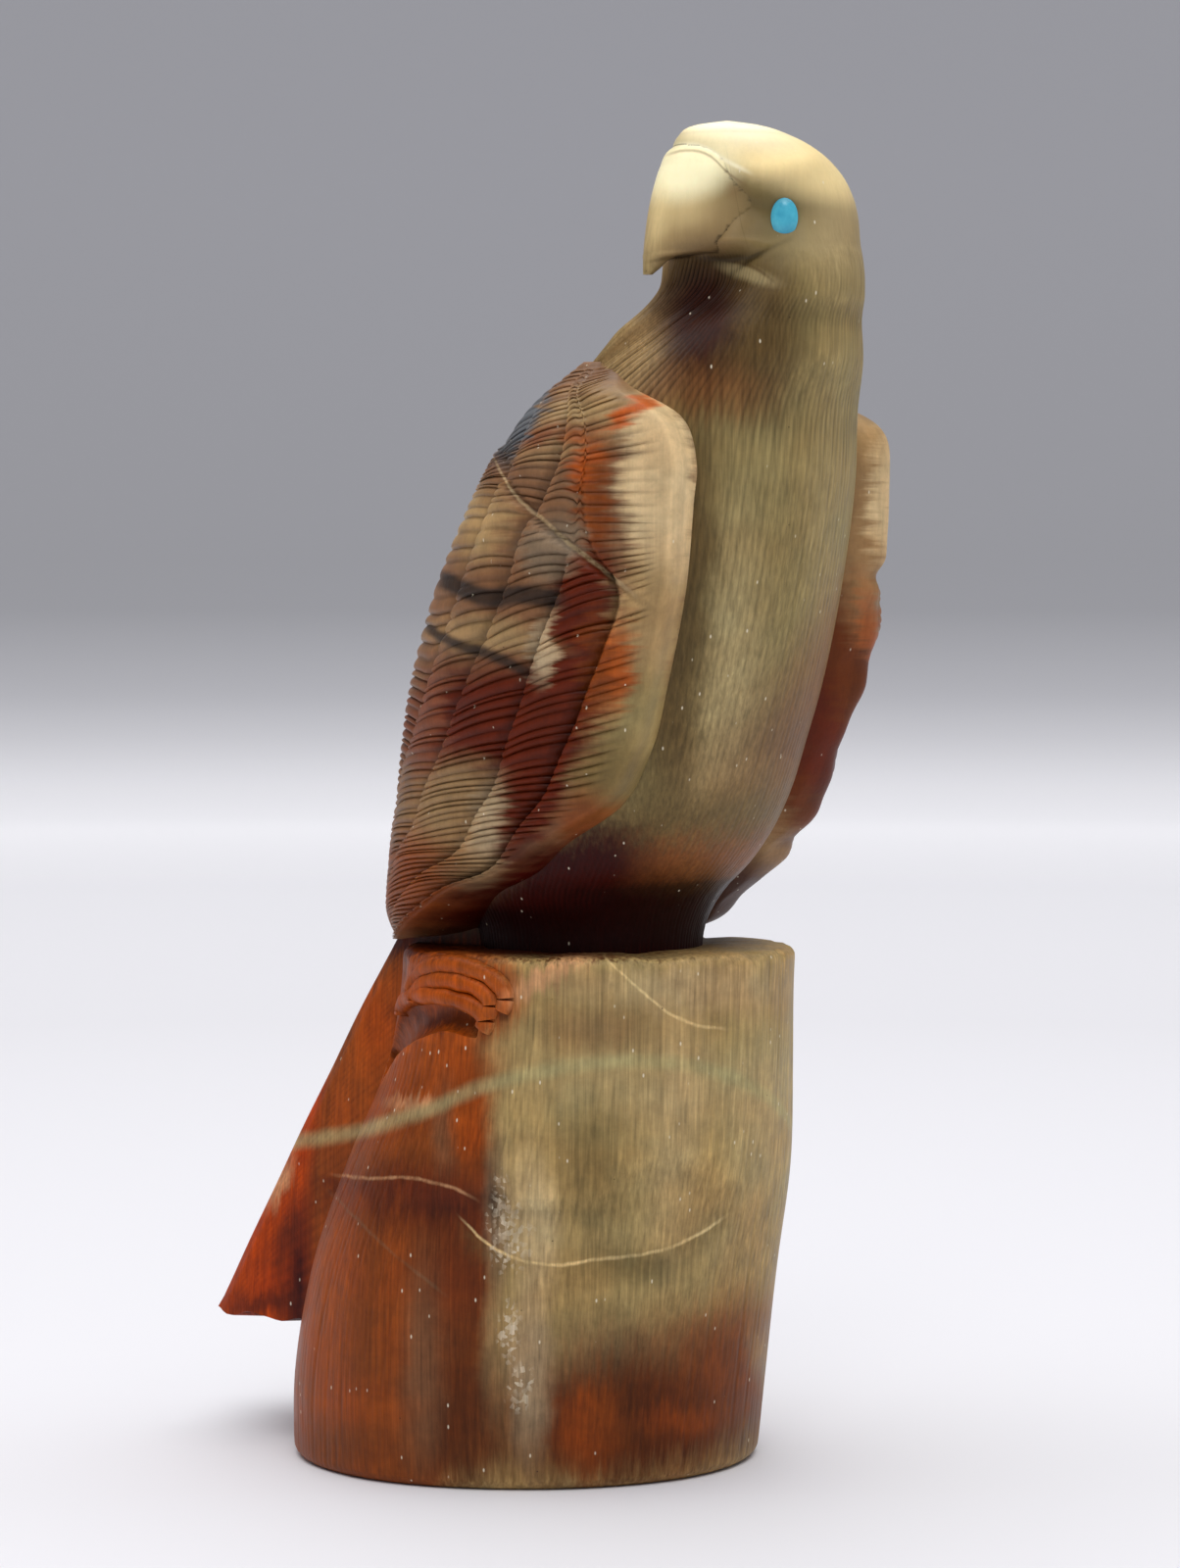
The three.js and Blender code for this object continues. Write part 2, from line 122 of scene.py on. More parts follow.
# A closed skin from a grid: surface() gives points in millimetres for shares round and along it
def wrapGrid(name, columns, rows, surface):
    shape = bmesh.new()
    bmesh.ops.create_grid(shape, x_segments=columns, y_segments=rows, size=0.5)
    piece = newPiece(name, shape)
    mesh = piece.data
    places = np.zeros(len(mesh.vertices) * 3)
    mesh.vertices.foreach_get("co", places)
    places = places.reshape(-1, 3)
    across, along = places[:, 0] + 0.5, places[:, 1] + 0.5
    mesh.vertices.foreach_set("co", (surface(across, along) * mm).ravel())
    shape = bmesh.new()
    shape.from_mesh(mesh)
    bmesh.ops.remove_doubles(shape, verts=shape.verts, dist=mergeDistance)
    bmesh.ops.holes_fill(shape, edges=shape.edges, sides=0)
    bmesh.ops.triangulate(shape, faces=[face for face in shape.faces if len(face.verts) > 4])
    bmesh.ops.recalc_face_normals(shape, faces=shape.faces)
    if shape.calc_volume(signed=True) < 0:
        bmesh.ops.reverse_faces(shape, faces=shape.faces)
    shape.to_mesh(mesh)
    shape.free()
    return piece


def combine(piece, other, operation):
    modifier = piece.modifiers.new("combine", "BOOLEAN")
    modifier.operation = operation
    modifier.solver = "MANIFOLD"
    modifier.object = other
    bpy.context.view_layer.update()
    made = bpy.data.meshes.new_from_object(piece.evaluated_get(bpy.context.evaluated_depsgraph_get()))
    piece.modifiers.remove(modifier)
    piece.data = made
    bpy.data.objects.remove(other)
    return piece


# Smooth shading, with creases where faces meet at more than the given angle
def shade(piece, crease):
    shape = bmesh.new()
    shape.from_mesh(piece.data)
    limit = math.radians(crease)
    for edge in shape.edges:
        edge.smooth = edge.calc_face_angle(0) < limit
    for face in shape.faces:
        face.smooth = True
    shape.to_mesh(piece.data)
    shape.free()
    print(piece.name, sum(len(face.vertices) - 2 for face in piece.data.polygons), "triangles")


shadingReliefValues = {"rounds": 4, "pull": 0.6}


# How far each point stands out of the smoothed surface, in millimetres, kept as an attribute from which the
# stones paint shade into the hollows and highlight onto the ridges
def markShadingRelief(piece):
    mesh = piece.data
    points = np.zeros(len(mesh.vertices) * 3)
    normals = np.zeros(len(mesh.vertices) * 3)
    pairs = np.zeros(len(mesh.edges) * 2, int)
    mesh.vertices.foreach_get("co", points)
    mesh.vertices.foreach_get("normal", normals)
    mesh.edges.foreach_get("vertices", pairs)
    points, normals, pairs = points.reshape(-1, 3), normals.reshape(-1, 3), pairs.reshape(-1, 2)
    ends = np.concatenate([pairs, pairs[:, ::-1]])
    smooth = points.copy()
    neighbours = np.maximum(np.bincount(ends[:, 0], minlength=len(points)), 1)[:, None]
    pull = shadingReliefValues["pull"]
    for _ in range(shadingReliefValues["rounds"]):
        axes = smooth[ends[:, 1]].T
        around = np.stack([np.bincount(ends[:, 0], axis, minlength=len(points)) for axis in axes], -1)
        smooth = (1 - pull) * smooth + pull * around / neighbours
    standing = ((points - smooth) * normals).sum(1) / mm
    mesh.attributes.new("wearAndShade", "FLOAT", "POINT").data.foreach_set("value", standing)


# Stump
stumpValues = {
    "height": 38.6,
    "stations": [
        [0, 17.4, 0],
        [0.17, 17.7, 0.504],
        [0.38, 17.4, 2.016],
        [0.58, 16.42, 4.32],
        [0.77, 15.04, 6.264],
        [0.94, 14.5, 7.056],
        [1, 14.5, 7.2],
    ],
    "oval": 0.065,
    "ovalTurn": 40,
    "footEdge": 0.9,
    "rimEdge": 0.8,
    "strokes": 168,
    "strokeDepth": 0.07,
    "rows": 56,
    # shares of the rows where the foot's edge, the wall, the rim and the top start
    "edgeFrom": 0.09,
    "wallFrom": 0.17,
    "rimFrom": 0.86,
    "topFrom": 0.94,
    "uneven": {"depth": 0.09, "size": 9, "drawn": 0.45},
    "rimChips": {"depth": 0.45, "size": 3.0, "least": 0.2},
    "rimDips": {"depth": 0.3, "size": 5.0},
    # the step and the scoop that show on the wall: angles from the breast, in degrees, and heights
    "step": {"angle": -71, "wide": 24, "height": 20.9, "tall": 4.5, "edge": 0.25, "depth": 0.22},
    "scoop": {"angle": -22, "wide": 24, "height": 19.5, "tall": 5, "depth": 0.3},
}
stumpAt = curveThrough(stumpValues["stations"])


def stumpPoint(angle, height, lift):
    radius, lean = np.moveaxis(stumpAt(height / stumpValues["height"]), -1, 0)
    oval = stumpValues["oval"] * (np.cos(2 * (angle - math.radians(stumpValues["ovalTurn"]))) - 1)
    reach = radius * (1 + oval) + lift
    return np.stack([reach * np.sin(angle), -lean - reach * np.cos(angle), height + 0 * reach], -1)


def stumpSurface(across, along):
    values = stumpValues
    top, foot, rim = values["height"], values["footEdge"], values["rimEdge"]
    edgeFrom, wallFrom = values["edgeFrom"], values["wallFrom"]
    rimFrom, topFrom = values["rimFrom"], values["topFrom"]
    angle = 2 * np.pi * across
    # the skin runs from the underside over the foot edge, the wall and the rim to the top
    turnFoot = np.clip((along - edgeFrom) / (wallFrom - edgeFrom), 0, 1) * np.pi / 2
    turnRim = np.clip((along - rimFrom) / (topFrom - rimFrom), 0, 1) * np.pi / 2
    wall = np.clip((along - wallFrom) / (rimFrom - wallFrom), 0, 1)
    rise = foot + (top - foot - rim) * wall + rim * np.sin(turnRim)
    height = np.where(along < wallFrom, foot * (1 - np.cos(turnFoot)), rise)
    inset = foot * (1 - np.sin(turnFoot)) + rim * (1 - np.cos(turnRim))
    draw = np.random.default_rng(11)
    strokes = values["strokes"]
    depths = draw.uniform(0.25, 1, strokes)
    starts = draw.uniform(0, 2 * np.pi, strokes)
    stroke = np.floor(across * strokes).astype(int) % strokes
    fade = 0.6 + 0.4 * np.sin(height * 0.23 + starts[stroke])
    cut = 0.5 - 0.5 * np.cos(2 * np.pi * across * strokes)
    onWall = smoothRise(edgeFrom + 0.01, wallFrom, along) * (1 - smoothRise(rimFrom, topFrom - 0.01, along))
    lift = -values["strokeDepth"] * depths[stroke] * fade * cut * onWall
    plain = stumpPoint(angle, height, 0)
    uneven = values["uneven"]
    waves = unevenness(plain * [1, 1, uneven["drawn"]], uneven["size"], 3)
    lift += uneven["depth"] * waves * smoothRise(edgeFrom, wallFrom + 0.03, along)
    nearRim = smoothRise(rimFrom - 0.06, rimFrom + 0.04, along)
    chips, dips = values["rimChips"], values["rimDips"]
    lift -= nearRim * chips["depth"] * np.clip(unevenness(plain, chips["size"], 5) - chips["least"], 0, 1)
    onRim = nearRim * (1 - smoothRise(topFrom + 0.01, 0.99, along))
    height = height - onRim * dips["depth"] * np.clip(unevenness(plain, dips["size"], 6), 0, 1)
    degrees = wrapTurn(np.degrees(angle))
    step = values["step"]
    edge = height + 2 * step["edge"] * np.sin(degrees * 0.11)
    under = smoothRise(step["height"] + step["edge"], step["height"], edge)
    near = bell(height, step["height"], step["tall"]) * bell(degrees, step["angle"], step["wide"])
    lift -= step["depth"] * under * near
    scoop = values["scoop"]
    aside = (degrees - scoop["angle"]) / scoop["wide"]
    aloft = (height - scoop["height"]) / scoop["tall"]
    lift -= scoop["depth"] * smoothRise(1.15, 0.2, aside**2 + aloft**2)
    points = stumpPoint(angle, height, lift - inset)
    # the flat faces close towards their middles
    shrink = np.interp(along, [0, edgeFrom, topFrom, 1], [0, 1, 1, 0])
    radius, lean = np.moveaxis(stumpAt(height / top), -1, 0)
    middle = stumpPoint(angle, height, -radius)
    middle[:, 0] = 0
    middle[:, 1] = -lean
    flat = (along < edgeFrom) | (along > topFrom)
    return np.where(flat[:, None], middle + (points - middle) * shrink[:, None], points)


stump = wrapGrid("carvedStump", stumpValues["strokes"] * 4, stumpValues["rows"], stumpSurface)
print("stump made")

# Tail behind the stump
tailValues = {
    "endHeight": 9.1,
    "endReach": 25.2,
    "rootReach": 5,
    "endHalfWidth": 8.7,
    "rootHalfWidth": 6.6,
    "rootRise": 4,
    "bend": 0.93,
    "flank": 4.2,
    "corner": 1.6,
    "bevel": 0.3,
    "crown": 0.5,
    "innerShare": 0.8,
    "columns": 180,
    "rows": 70,
    # shares of the rows between the two closed ends, and how much longer than the outline the columns
    # run, to come home through the stump
    "caps": [0.02, 0.96],
    "home": 1.15,
    "strokeWidth": 0.66,
    "strokeDepth": 0.05,
    "uneven": {"depth": 0.07, "size": 6, "drawn": 0.4},
    "endWear": {"depth": 0.25, "size": 2.2},
}


def tailSurface(across, along):
    values = tailValues
    root = stumpValues["height"] + values["rootRise"]
    first, last = values["caps"]
    share = np.clip((along - first) / (last - first), 0, 1)
    height = root + (values["endHeight"] - root) * share
    halfWidth = values["rootHalfWidth"] + (values["endHalfWidth"] - values["rootHalfWidth"]) * share
    back = values["rootReach"] + (values["endReach"] - values["rootReach"]) * share ** values["bend"]
    front = -stumpAt(height / stumpValues["height"])[..., 1]
    corner, bevel = values["corner"], values["bevel"] * values["corner"]
    # half outline from the stump to the middle of the back
    inner = halfWidth * values["innerShare"]
    xs = [inner, halfWidth, halfWidth, halfWidth - bevel, halfWidth - corner, 0 * halfWidth]
    ys = [front, back - values["flank"], back - corner, back - bevel, back, back + values["crown"]]
    steps = np.array([0, 0.5, 0.62, 0.68, 0.74, 1])
    # the outline goes round: left side, back, right side, then straight home through the stump
    loop = np.clip(across * values["home"], 0, 1)
    mirrored = np.where(loop < 0.5, -1.0, 1.0)
    t = 1 - np.abs(2 * loop - 1)
    x = np.zeros_like(t)
    y = np.zeros_like(t)
    for index in range(len(steps) - 1):
        inside = (t >= steps[index]) & (t <= steps[index + 1])
        f = (t - steps[index]) / (steps[index + 1] - steps[index])
        x = np.where(inside, xs[index] + (xs[index + 1] - xs[index]) * f, x)
        y = np.where(inside, ys[index] + (ys[index + 1] - ys[index]) * f, y)
    turned = 1 / values["home"]
    home = across > turned
    f = np.clip((across - turned) / (1 - turned), 0, 1)
    x = np.where(home, xs[0] * (1 - 2 * f), x * mirrored)
    y = np.where(home, front, y)
    points = np.stack([x, y, height], -1)
    strokes = np.cos(2 * np.pi * (y + x) / values["strokeWidth"]) * 0.5 - 0.5
    uneven, wearAndShade = values["uneven"], values["endWear"]
    rough = unevenness(points, wearAndShade["size"], 21)
    waves = unevenness(points * [1, 1, uneven["drawn"]], uneven["size"], 22)
    onBack = t > 0.66
    lift = values["strokeDepth"] * strokes * ~onBack + uneven["depth"] * waves
    points[:, 0] += np.where(home, 0, lift * mirrored)
    points[:, 1] += np.where(onBack, lift, 0)
    atEnd = smoothRise(last - 0.06, last, along) * (along < 0.995)
    points[:, 2] -= wearAndShade["depth"] * np.clip(rough, -1, 1) * atEnd
    # the two ends close towards their middles
    shrink = np.interp(along, [0, first, last, 1], [0, 1, 1, 0])
    middle = np.stack([0 * x, 0.5 * (front + back), points[:, 2]], -1)
    return middle + (points - middle) * shrink[:, None]


tail = wrapGrid("tail", tailValues["columns"], tailValues["rows"], tailSurface)
combine(stump, tail, "UNION")
print("tail joined")

# Feet at the rim: folded toes arching over a channel, with a drilled hole in it
footValues = {
    "angle": 100,
    "toeRadius": 0.72,
    "toeInset": 0.25,
    "arches": [
        {"middle": 8, "span": 22, "rise": 1.7, "drop": 4.8},
        {"middle": 2, "span": 17, "rise": 1.8, "drop": 3.7},
        {"middle": 1, "span": 21, "rise": 2.4, "drop": 3.2},
    ],
    "channelRadius": 1.6,
    "channelDepth": 1.1,
    "channelPath": [[-12, 4.5], [-5, 4.2], [2, 4.1], [12, 4.7], [22, 5.7], [31, 7], [41, 9]],
    "holeAngle": 88,
    "holeDrop": 4.6,
    "holeRadius": 0.75,
    "holeDepth": 2.4,
    "toeTurns": {"from": -0.05, "to": 1.1, "count": 14},
    # sides round and steps along each bar, and how uneven its reach is
    "channelGrid": (30, 60, 0.04),
    "holeGrid": (28, 12, 0.0),
    "toeGrid": (20, 56, 0.1),
}


barCap = 0.04


# A round bar along points of millimetres, closed at both ends
def barAlong(name, points, radius, sides, steps, wobble):
    path = curveThrough([[index, *point] for index, point in enumerate(points)])
    last = len(points) - 1

    def surface(across, along):
        inner = np.clip((along - barCap) / (1 - 2 * barCap), 0, 1)
        here = path(inner * last)
        ahead = path(np.clip(inner * last + 0.05, 0, last)) - path(np.clip(inner * last - 0.05, 0, last))
        ahead /= np.linalg.norm(ahead, axis=1)[:, None]
        side = np.cross(ahead, np.array([0, 0, 1.0]))
        steep = np.linalg.norm(side, axis=1) < 0.05
        side[steep] = np.cross(ahead[steep], np.array([1.0, 0, 0]))
        side /= np.linalg.norm(side, axis=1)[:, None]
        up = np.cross(side, ahead)
        angle = 2 * np.pi * across
        reach = radius * np.sqrt(np.clip(np.interp(along, [0, barCap, 1 - barCap, 1], [0, 1, 1, 0]), 0, 1))
        reach = reach * (1 + wobble * unevenness(here, 1.8, 31))
        return here + side * (reach * np.cos(angle))[:, None] + up * (reach * np.sin(angle))[:, None]

    return wrapGrid(name, sides, steps, surface)


def footPoint(side, angle, drop, lift):
    place = np.radians(side * (footValues["angle"] + angle))
    return stumpPoint(np.array([place]), np.array([stumpValues["height"] - drop]), np.array([lift]))[0]


for side in (-1, 1):
    values = footValues
    lift = values["channelRadius"] - values["channelDepth"]
    channel = [footPoint(side, angle, drop, lift) for angle, drop in values["channelPath"]]
    cutter = barAlong("channel", channel, values["channelRadius"], *values["channelGrid"])
    combine(stump, cutter, "DIFFERENCE")
    hole = [
        footPoint(side, values["holeAngle"] - values["angle"], values["holeDrop"], out)
        for out in (-values["holeDepth"], -0.5, values["channelRadius"])
    ]
    combine(stump, barAlong("hole", hole, values["holeRadius"], *values["holeGrid"]), "DIFFERENCE")
    for arch in values["arches"]:
        toeTurns = values["toeTurns"]
        turns = np.linspace(toeTurns["from"] * np.pi, toeTurns["to"] * np.pi, toeTurns["count"])
        path = [
            footPoint(
                side,
                arch["middle"] + arch["span"] * math.cos(turn),
                arch["drop"] - arch["rise"] * math.sin(turn),
                -values["toeInset"],
            )
            for turn in turns
        ]
        combine(stump, barAlong("toe", path, values["toeRadius"], *values["toeGrid"]), "UNION")
shade(stump, 40)
print("feet carved")

# Bird: every height and reach is a share of the bird's own height above the stump
birdHeight = 59.6
headValues = {"turn": 113, "side": 0.5, "forward": 22.2, "blendFrom": 0.745, "blendTo": 0.825}
trunkStations = [
    [-0.035, 0.113, 0.133, 0.133, 0.15],
    [0.03, 0.115, 0.14, 0.137, 0.16],
    [0.07, 0.122, 0.165, 0.15, 0.183],
    [0.1, 0.14, 0.18, 0.163, 0.2],
    [0.14, 0.158, 0.193, 0.177, 0.208],
    [0.19, 0.173, 0.203, 0.19, 0.217],
    [0.257, 0.187, 0.21, 0.201, 0.225],
    [0.323, 0.2, 0.217, 0.21, 0.233],
    [0.44, 0.227, 0.218, 0.212, 0.225],
    [0.573, 0.254, 0.212, 0.208, 0.2],
    [0.657, 0.287, 0.19, 0.183, 0.175],
    [0.715, 0.325, 0.163, 0.16, 0.163],
    [0.77, 0.353, 0.139, 0.134, 0.141],
    [0.79, 0.362, 0.13, 0.127, 0.131],
    [0.815, 0.37, 0.122, 0.12, 0.121],
    [0.85, 0.372, 0.118, 0.116, 0.117],
]
headStations = [
    [0.72, 0, 0.1, 0.11, 0.11],
    [0.78, 0, 0.125, 0.122, 0.128],
    [0.8, 0, 0.122, 0.12, 0.125],
    [0.82, 0, 0.119, 0.118, 0.122],
    [0.835, 0, 0.112, 0.117, 0.118],
    [0.85, 0, 0.092, 0.115, 0.113],
    [0.885, 0, 0.076, 0.113, 0.106],
    [0.91, 0, 0.09, 0.105, 0.103],
    [0.938, 0, 0.112, 0.088, 0.09],
    [0.96, 0.005, 0.114, 0.067, 0.075],
    [0.977, 0.02, 0.093, 0.049, 0.058],
    [0.989, 0.04, 0.055, 0.031, 0.038],
    [0.996, 0.052, 0.004, 0.004, 0.004],
]
trunkAt, headAt = curveThrough(trunkStations), curveThrough(headStations)
headTurn = math.radians(headValues["turn"])
beakWay = np.array([-math.sin(headTurn), -math.cos(headTurn), 0])
asideWay = np.array([-beakWay[1], beakWay[0], 0])
headMiddle = np.array([headValues["side"], -headValues["forward"], 0])


def birdPoint(station, angle, height, lift):
    lean, halfWidth, front, back = np.moveaxis(station, -1, 0) * birdHeight
    cosine = np.cos(angle)
    reach = np.where(cosine > 0, front, back) + lift
    rise = stumpValues["height"] + height * birdHeight
    return np.stack([(halfWidth + lift) * np.sin(angle), -lean - reach * cosine, rise], -1)


# Point on a ring of the head, its angle counted from the beak
def headPoint(station, angle, height, lift):
    middle, front, back, halfWidth = np.moveaxis(station, -1, 0) * birdHeight
    cosine = np.cos(angle)
    along = middle + (np.where(cosine > 0, front, back) + lift) * cosine
    aside = (halfWidth + lift) * np.sin(angle)
    flat = headMiddle + along[..., None] * beakWay + aside[..., None] * asideWay
    flat[..., 2] = stumpValues["height"] + height * birdHeight
    return flat


bodyValues = {
    "grooves": 140,
    "rows": 150,
    # shares of the rows and the heights they stand at, closer together on the head
    "rowShares": [0, 0.36, 0.52, 1],
    "rowHeights": [-0.035, 0.64, 0.78, 0.996],
    "neckGroove": 0.3,
    "neckSide": {"angle": -112, "wide": 34, "least": 0.12},
    "breastGroove": 0.05,
    "swirl": {"turn": 34, "angle": -124, "wide": 40},
    "throat": {"turn": 30, "wide": 25, "depth": 2.3, "top": 0.838, "bottom": 0.70, "soft": 0.012},
    "eye": {"along": 0.03, "height": 0.875, "depth": 0.83, "brow": 0.6, "corner": 0.3, "cheek": 0.9},
    "gape": {
        "depth": 0.2,
        "height": 0.822,
        "turn": 45,
        "climb": 0.0009,
        "tall": 0.006,
        "middle": 52,
        "wide": 17,
    },
}
# half width and reach of the head at the eyes, by which the reliefs round them are placed
eyeRing = {"front": 0.077, "reach": 0.105}
# hollows and swells round each eye, in millimetres above it and back from it:
# value in bodyValues["eye"], sign, middle and spread of the height, then of the way back
eyeReliefs = [("corner", -1, 1.3, 1.1, -3.2, 1.3), ("cheek", 1, -0.6, 2.3, -4.2, 1.2)]


def bodySurface(across, along):
    values = bodyValues
    height = np.interp(along, values["rowShares"], values["rowHeights"])
    angle = 2 * np.pi * (across - 0.5)
    degrees = np.degrees(angle)
    # the neck's grooves sweep towards the right shoulder as they run down
    swirl = values["swirl"]
    sweep = bell(degrees, swirl["angle"], swirl["wide"])
    sweep *= (1 - smoothRise(0.655, 0.755, height)) * smoothRise(0.5, 0.62, height)
    angle = angle - np.radians(swirl["turn"]) * sweep
    headAngle = angle + headTurn
    headDegrees = wrapTurn(np.degrees(headAngle))
    blend = smoothRise(headValues["blendFrom"], headValues["blendTo"], height)[..., None]
    grooveWave = 0.5 - 0.5 * np.cos(2 * np.pi * across * values["grooves"])
    draw = np.random.default_rng(7)
    depths = draw.uniform(0.35, 1, values["grooves"] + 1)[np.floor(across * values["grooves"]).astype(int)]
    onNeck = smoothRise(0.6, 0.7, height) * (1 - smoothRise(0.79, 0.85, height))
    neckSide = values["neckSide"]
    side = neckSide["least"] + (1 - neckSide["least"]) * bell(degrees, neckSide["angle"], neckSide["wide"])
    onBreast = 1 - smoothRise(0.6, 0.75, height)
    lift = -grooveWave * depths * (values["neckGroove"] * onNeck * side + values["breastGroove"] * onBreast)
    throat = values["throat"]
    hollow = smoothRise(throat["top"] + throat["soft"], throat["top"] - throat["soft"], height)
    hollow *= smoothRise(throat["bottom"], 0.8, height)
    lift -= throat["depth"] * bell(headDegrees, throat["turn"], throat["wide"]) * hollow
    # hollows round the eyes under the brows
    eye = values["eye"]
    for half in (-1, 1):
        place = half * math.degrees(math.acos(eye["along"] / eyeRing["front"]))
        away = half * np.radians(headDegrees - place) * eyeRing["reach"] * birdHeight
        rise = (height - eye["height"]) * birdHeight
        recess = np.where(rise > 0, bell(rise, 0, 1.9), bell(rise, 0, 2.7)) * bell(away, 0, 3.1)
        lift -= eye["depth"] * recess
        lift += eye["brow"] * bell(rise - 0.25 * away, 3.4, 1.1) * bell(away, 0.6, 4.2)
        for key, sign, up, tall, back, wide in eyeReliefs:
            lift += sign * eye[key] * bell(rise, up, tall) * bell(away, back, wide)
    # corner of the beak: a fine line running back over the cheek
    gape = values["gape"]
    line = gape["height"] + gape["climb"] * (headDegrees - gape["turn"])
    onCheek = bell(headDegrees, gape["middle"], gape["wide"])
    lift -= gape["depth"] * bell(height, line, gape["tall"]) * onCheek
    trunk = birdPoint(trunkAt(height), angle, height, lift)
    head = headPoint(headAt(height), headAngle, height, lift)
    return trunk * (1 - blend) + head * blend


eagle = wrapGrid("carvedEagle", bodyValues["grooves"] * 4, bodyValues["rows"], bodySurface)
print("body made")

# Beak: rings in the head's frame
beakStations = [
    [0.81, 0.159, 0.005, 0.006, 0.006],
    [0.819, 0.152, 0.0115, 0.01, 0.012],
    [0.828, 0.142, 0.02, 0.01, 0.022],
    [0.834, 0.125, 0.036, 0.02, 0.034],
    [0.839, 0.07, 0.091, 0.06, 0.048],
    [0.85, 0.055, 0.104, 0.06, 0.058],
    [0.885, 0.05, 0.103, 0.06, 0.064],
    [0.915, 0.045, 0.1, 0.05, 0.068],
    [0.94, 0.045, 0.091, 0.05, 0.066],
    [0.958, 0.05, 0.077, 0.04, 0.054],
    [0.972, 0.05, 0.055, 0.04, 0.038],
]
beakAt = curveThrough(beakStations)
beakValues = {"columns": 88, "rows": 64, "rowShares": [0, 0.35, 1], "rowHeights": [0.81, 0.845, 0.972]}


def beakSurface(across, along):
    height = np.interp(along, beakValues["rowShares"], beakValues["rowHeights"])
    return headPoint(beakAt(height), 2 * np.pi * (across - 0.5), height, 0)


beak = wrapGrid("beak", beakValues["columns"], beakValues["rows"], beakSurface)
combine(eagle, beak, "UNION")
print("beak joined")

# Folded wings
wingStations = [
    [-0.02, 0.115, 0.185, 0.17, 0.275],
    [0.04, 0.115, 0.225, 0.21, 0.287],
    [0.1, 0.14, 0.245, 0.23, 0.3],
    [0.185, 0.172, 0.252, 0.245, 0.32],
    [0.24, 0.183, 0.259, 0.253, 0.318],
    [0.323, 0.2, 0.267, 0.266, 0.314],
    [0.44, 0.227, 0.271, 0.281, 0.293],
    [0.523, 0.243, 0.265, 0.277, 0.26],
    [0.582, 0.254, 0.257, 0.27, 0.231],
    [0.632, 0.27, 0.239, 0.258, 0.212],
    [0.673, 0.295, 0.211, 0.222, 0.199],
    [0.707, 0.317, 0.175, 0.17, 0.18],
    [0.74, 0.333, 0.14, 0.133, 0.142],
]
wingLead = [
    [0, 100, 0.707],
    [0.066, 82.6, 0.678],
    [0.171, 56.4, 0.632],
    [0.227, 48.8, 0.582],
    [0.271, 48, 0.537],
    [0.363, 46.4, 0.443],
    [0.481, 45, 0.32],
    [0.547, 45.7, 0.252],
    [0.616, 52.3, 0.183],
    [0.686, 68.6, 0.134],
    [0.731, 77.8, 0.1],
    [0.788, 94.8, 0.076],
    [0.844, 108, 0.045],
    [0.934, 130, 0.013],
    [1, 145, 0.002],
]
wingBack = [
    [0, 181, 0.72],
    [0.3, 181, 0.56],
    [0.6, 181, 0.33],
    [0.8, 178, 0.16],
    [0.92, 168, 0.055],
    [1, 152, 0.002],
]
# by place along the wing, the shares across it where the feather columns start
columnEdges = [
    [0, 0.2, 0.215, 0.26, 0.42, 0.6, 0.8, 1],
    [0.2, 0.218, 0.233, 0.283, 0.45, 0.62, 0.8, 1],
    [0.27, 0.218, 0.236, 0.31, 0.47, 0.63, 0.81, 1],
    [0.33, 0.19, 0.236, 0.352, 0.49, 0.65, 0.82, 1],
    [0.38, 0.13, 0.243, 0.362, 0.5, 0.66, 0.83, 1],
    [0.45, 0.143, 0.272, 0.392, 0.52, 0.67, 0.84, 1],
    [0.52, 0.167, 0.293, 0.43, 0.55, 0.69, 0.85, 1],
    [0.6, 0.178, 0.305, 0.455, 0.58, 0.71, 0.86, 1],
    [0.66, 0.146, 0.27, 0.45, 0.6, 0.72, 0.87, 1],
    [0.74, 0.08, 0.21, 0.42, 0.6, 0.75, 0.88, 1],
    [0.86, 0.085, 0.23, 0.42, 0.6, 0.75, 0.88, 1],
    [1, 0.12, 0.28, 0.45, 0.6, 0.75, 0.88, 1],
]
wingValues = {
    "bandColumns": 20,
    "featherColumns": 8,
    "barbs": 79,
    "barbDepth": 0.24,
    "bandBarbDepth": 0.22,
    "barbBow": 0.02,
    "columnStep": 0.8,
    "columnRise": 0.85,
    "rollHeight": 2.6,
    "rollShare": 0.055,
    "bandSwell": 0.3,
    # depths of one barb's rows, as shares of its depth
    "barbRows": [1.0, 0.35, 0.08, 0.0, 0.22],
    "jitter": 0.32,
    "lean": 0.07,
    "edgeGap": 0.005,
    "quill": {"depth": 0.16, "wide": 0.12},
    "sawLine": (0.417, 0.07),
    "sawDepth": 0.45,
    "sawGroove": 0.3,
    "topSink": 1.1,
    "leftDrop": {"most": 0.09, "place": 0.71, "spread": 0.1},
    "leftSwells": [
        {"most": 0.9, "place": 0.12, "spread": 0.09},
        {"most": 0.45, "place": 0.45, "spread": 0.1},
    ],
    "leftWear": {"depth": 0.3, "size": 4.2},
    "leftNotch": {"depth": 0.7, "place": 0.352, "spread": 0.014},
}
wingTables = (wingStations, wingLead, wingBack, columnEdges)
outlineAt, leadAt, backAt, edgesAt = (curveThrough(table) for table in wingTables)
feathers = len(columnEdges[0]) - 2
# how much the barbs climb along the wing for each share across, by place
slantPlaces = [0, 0.1, 0.13, 0.26, 0.3, 0.42, 0.85, 1]
slantClimbs = [0, 0.27, 0.27, 0.03, 0.03, 0.3, 0.3, 0]


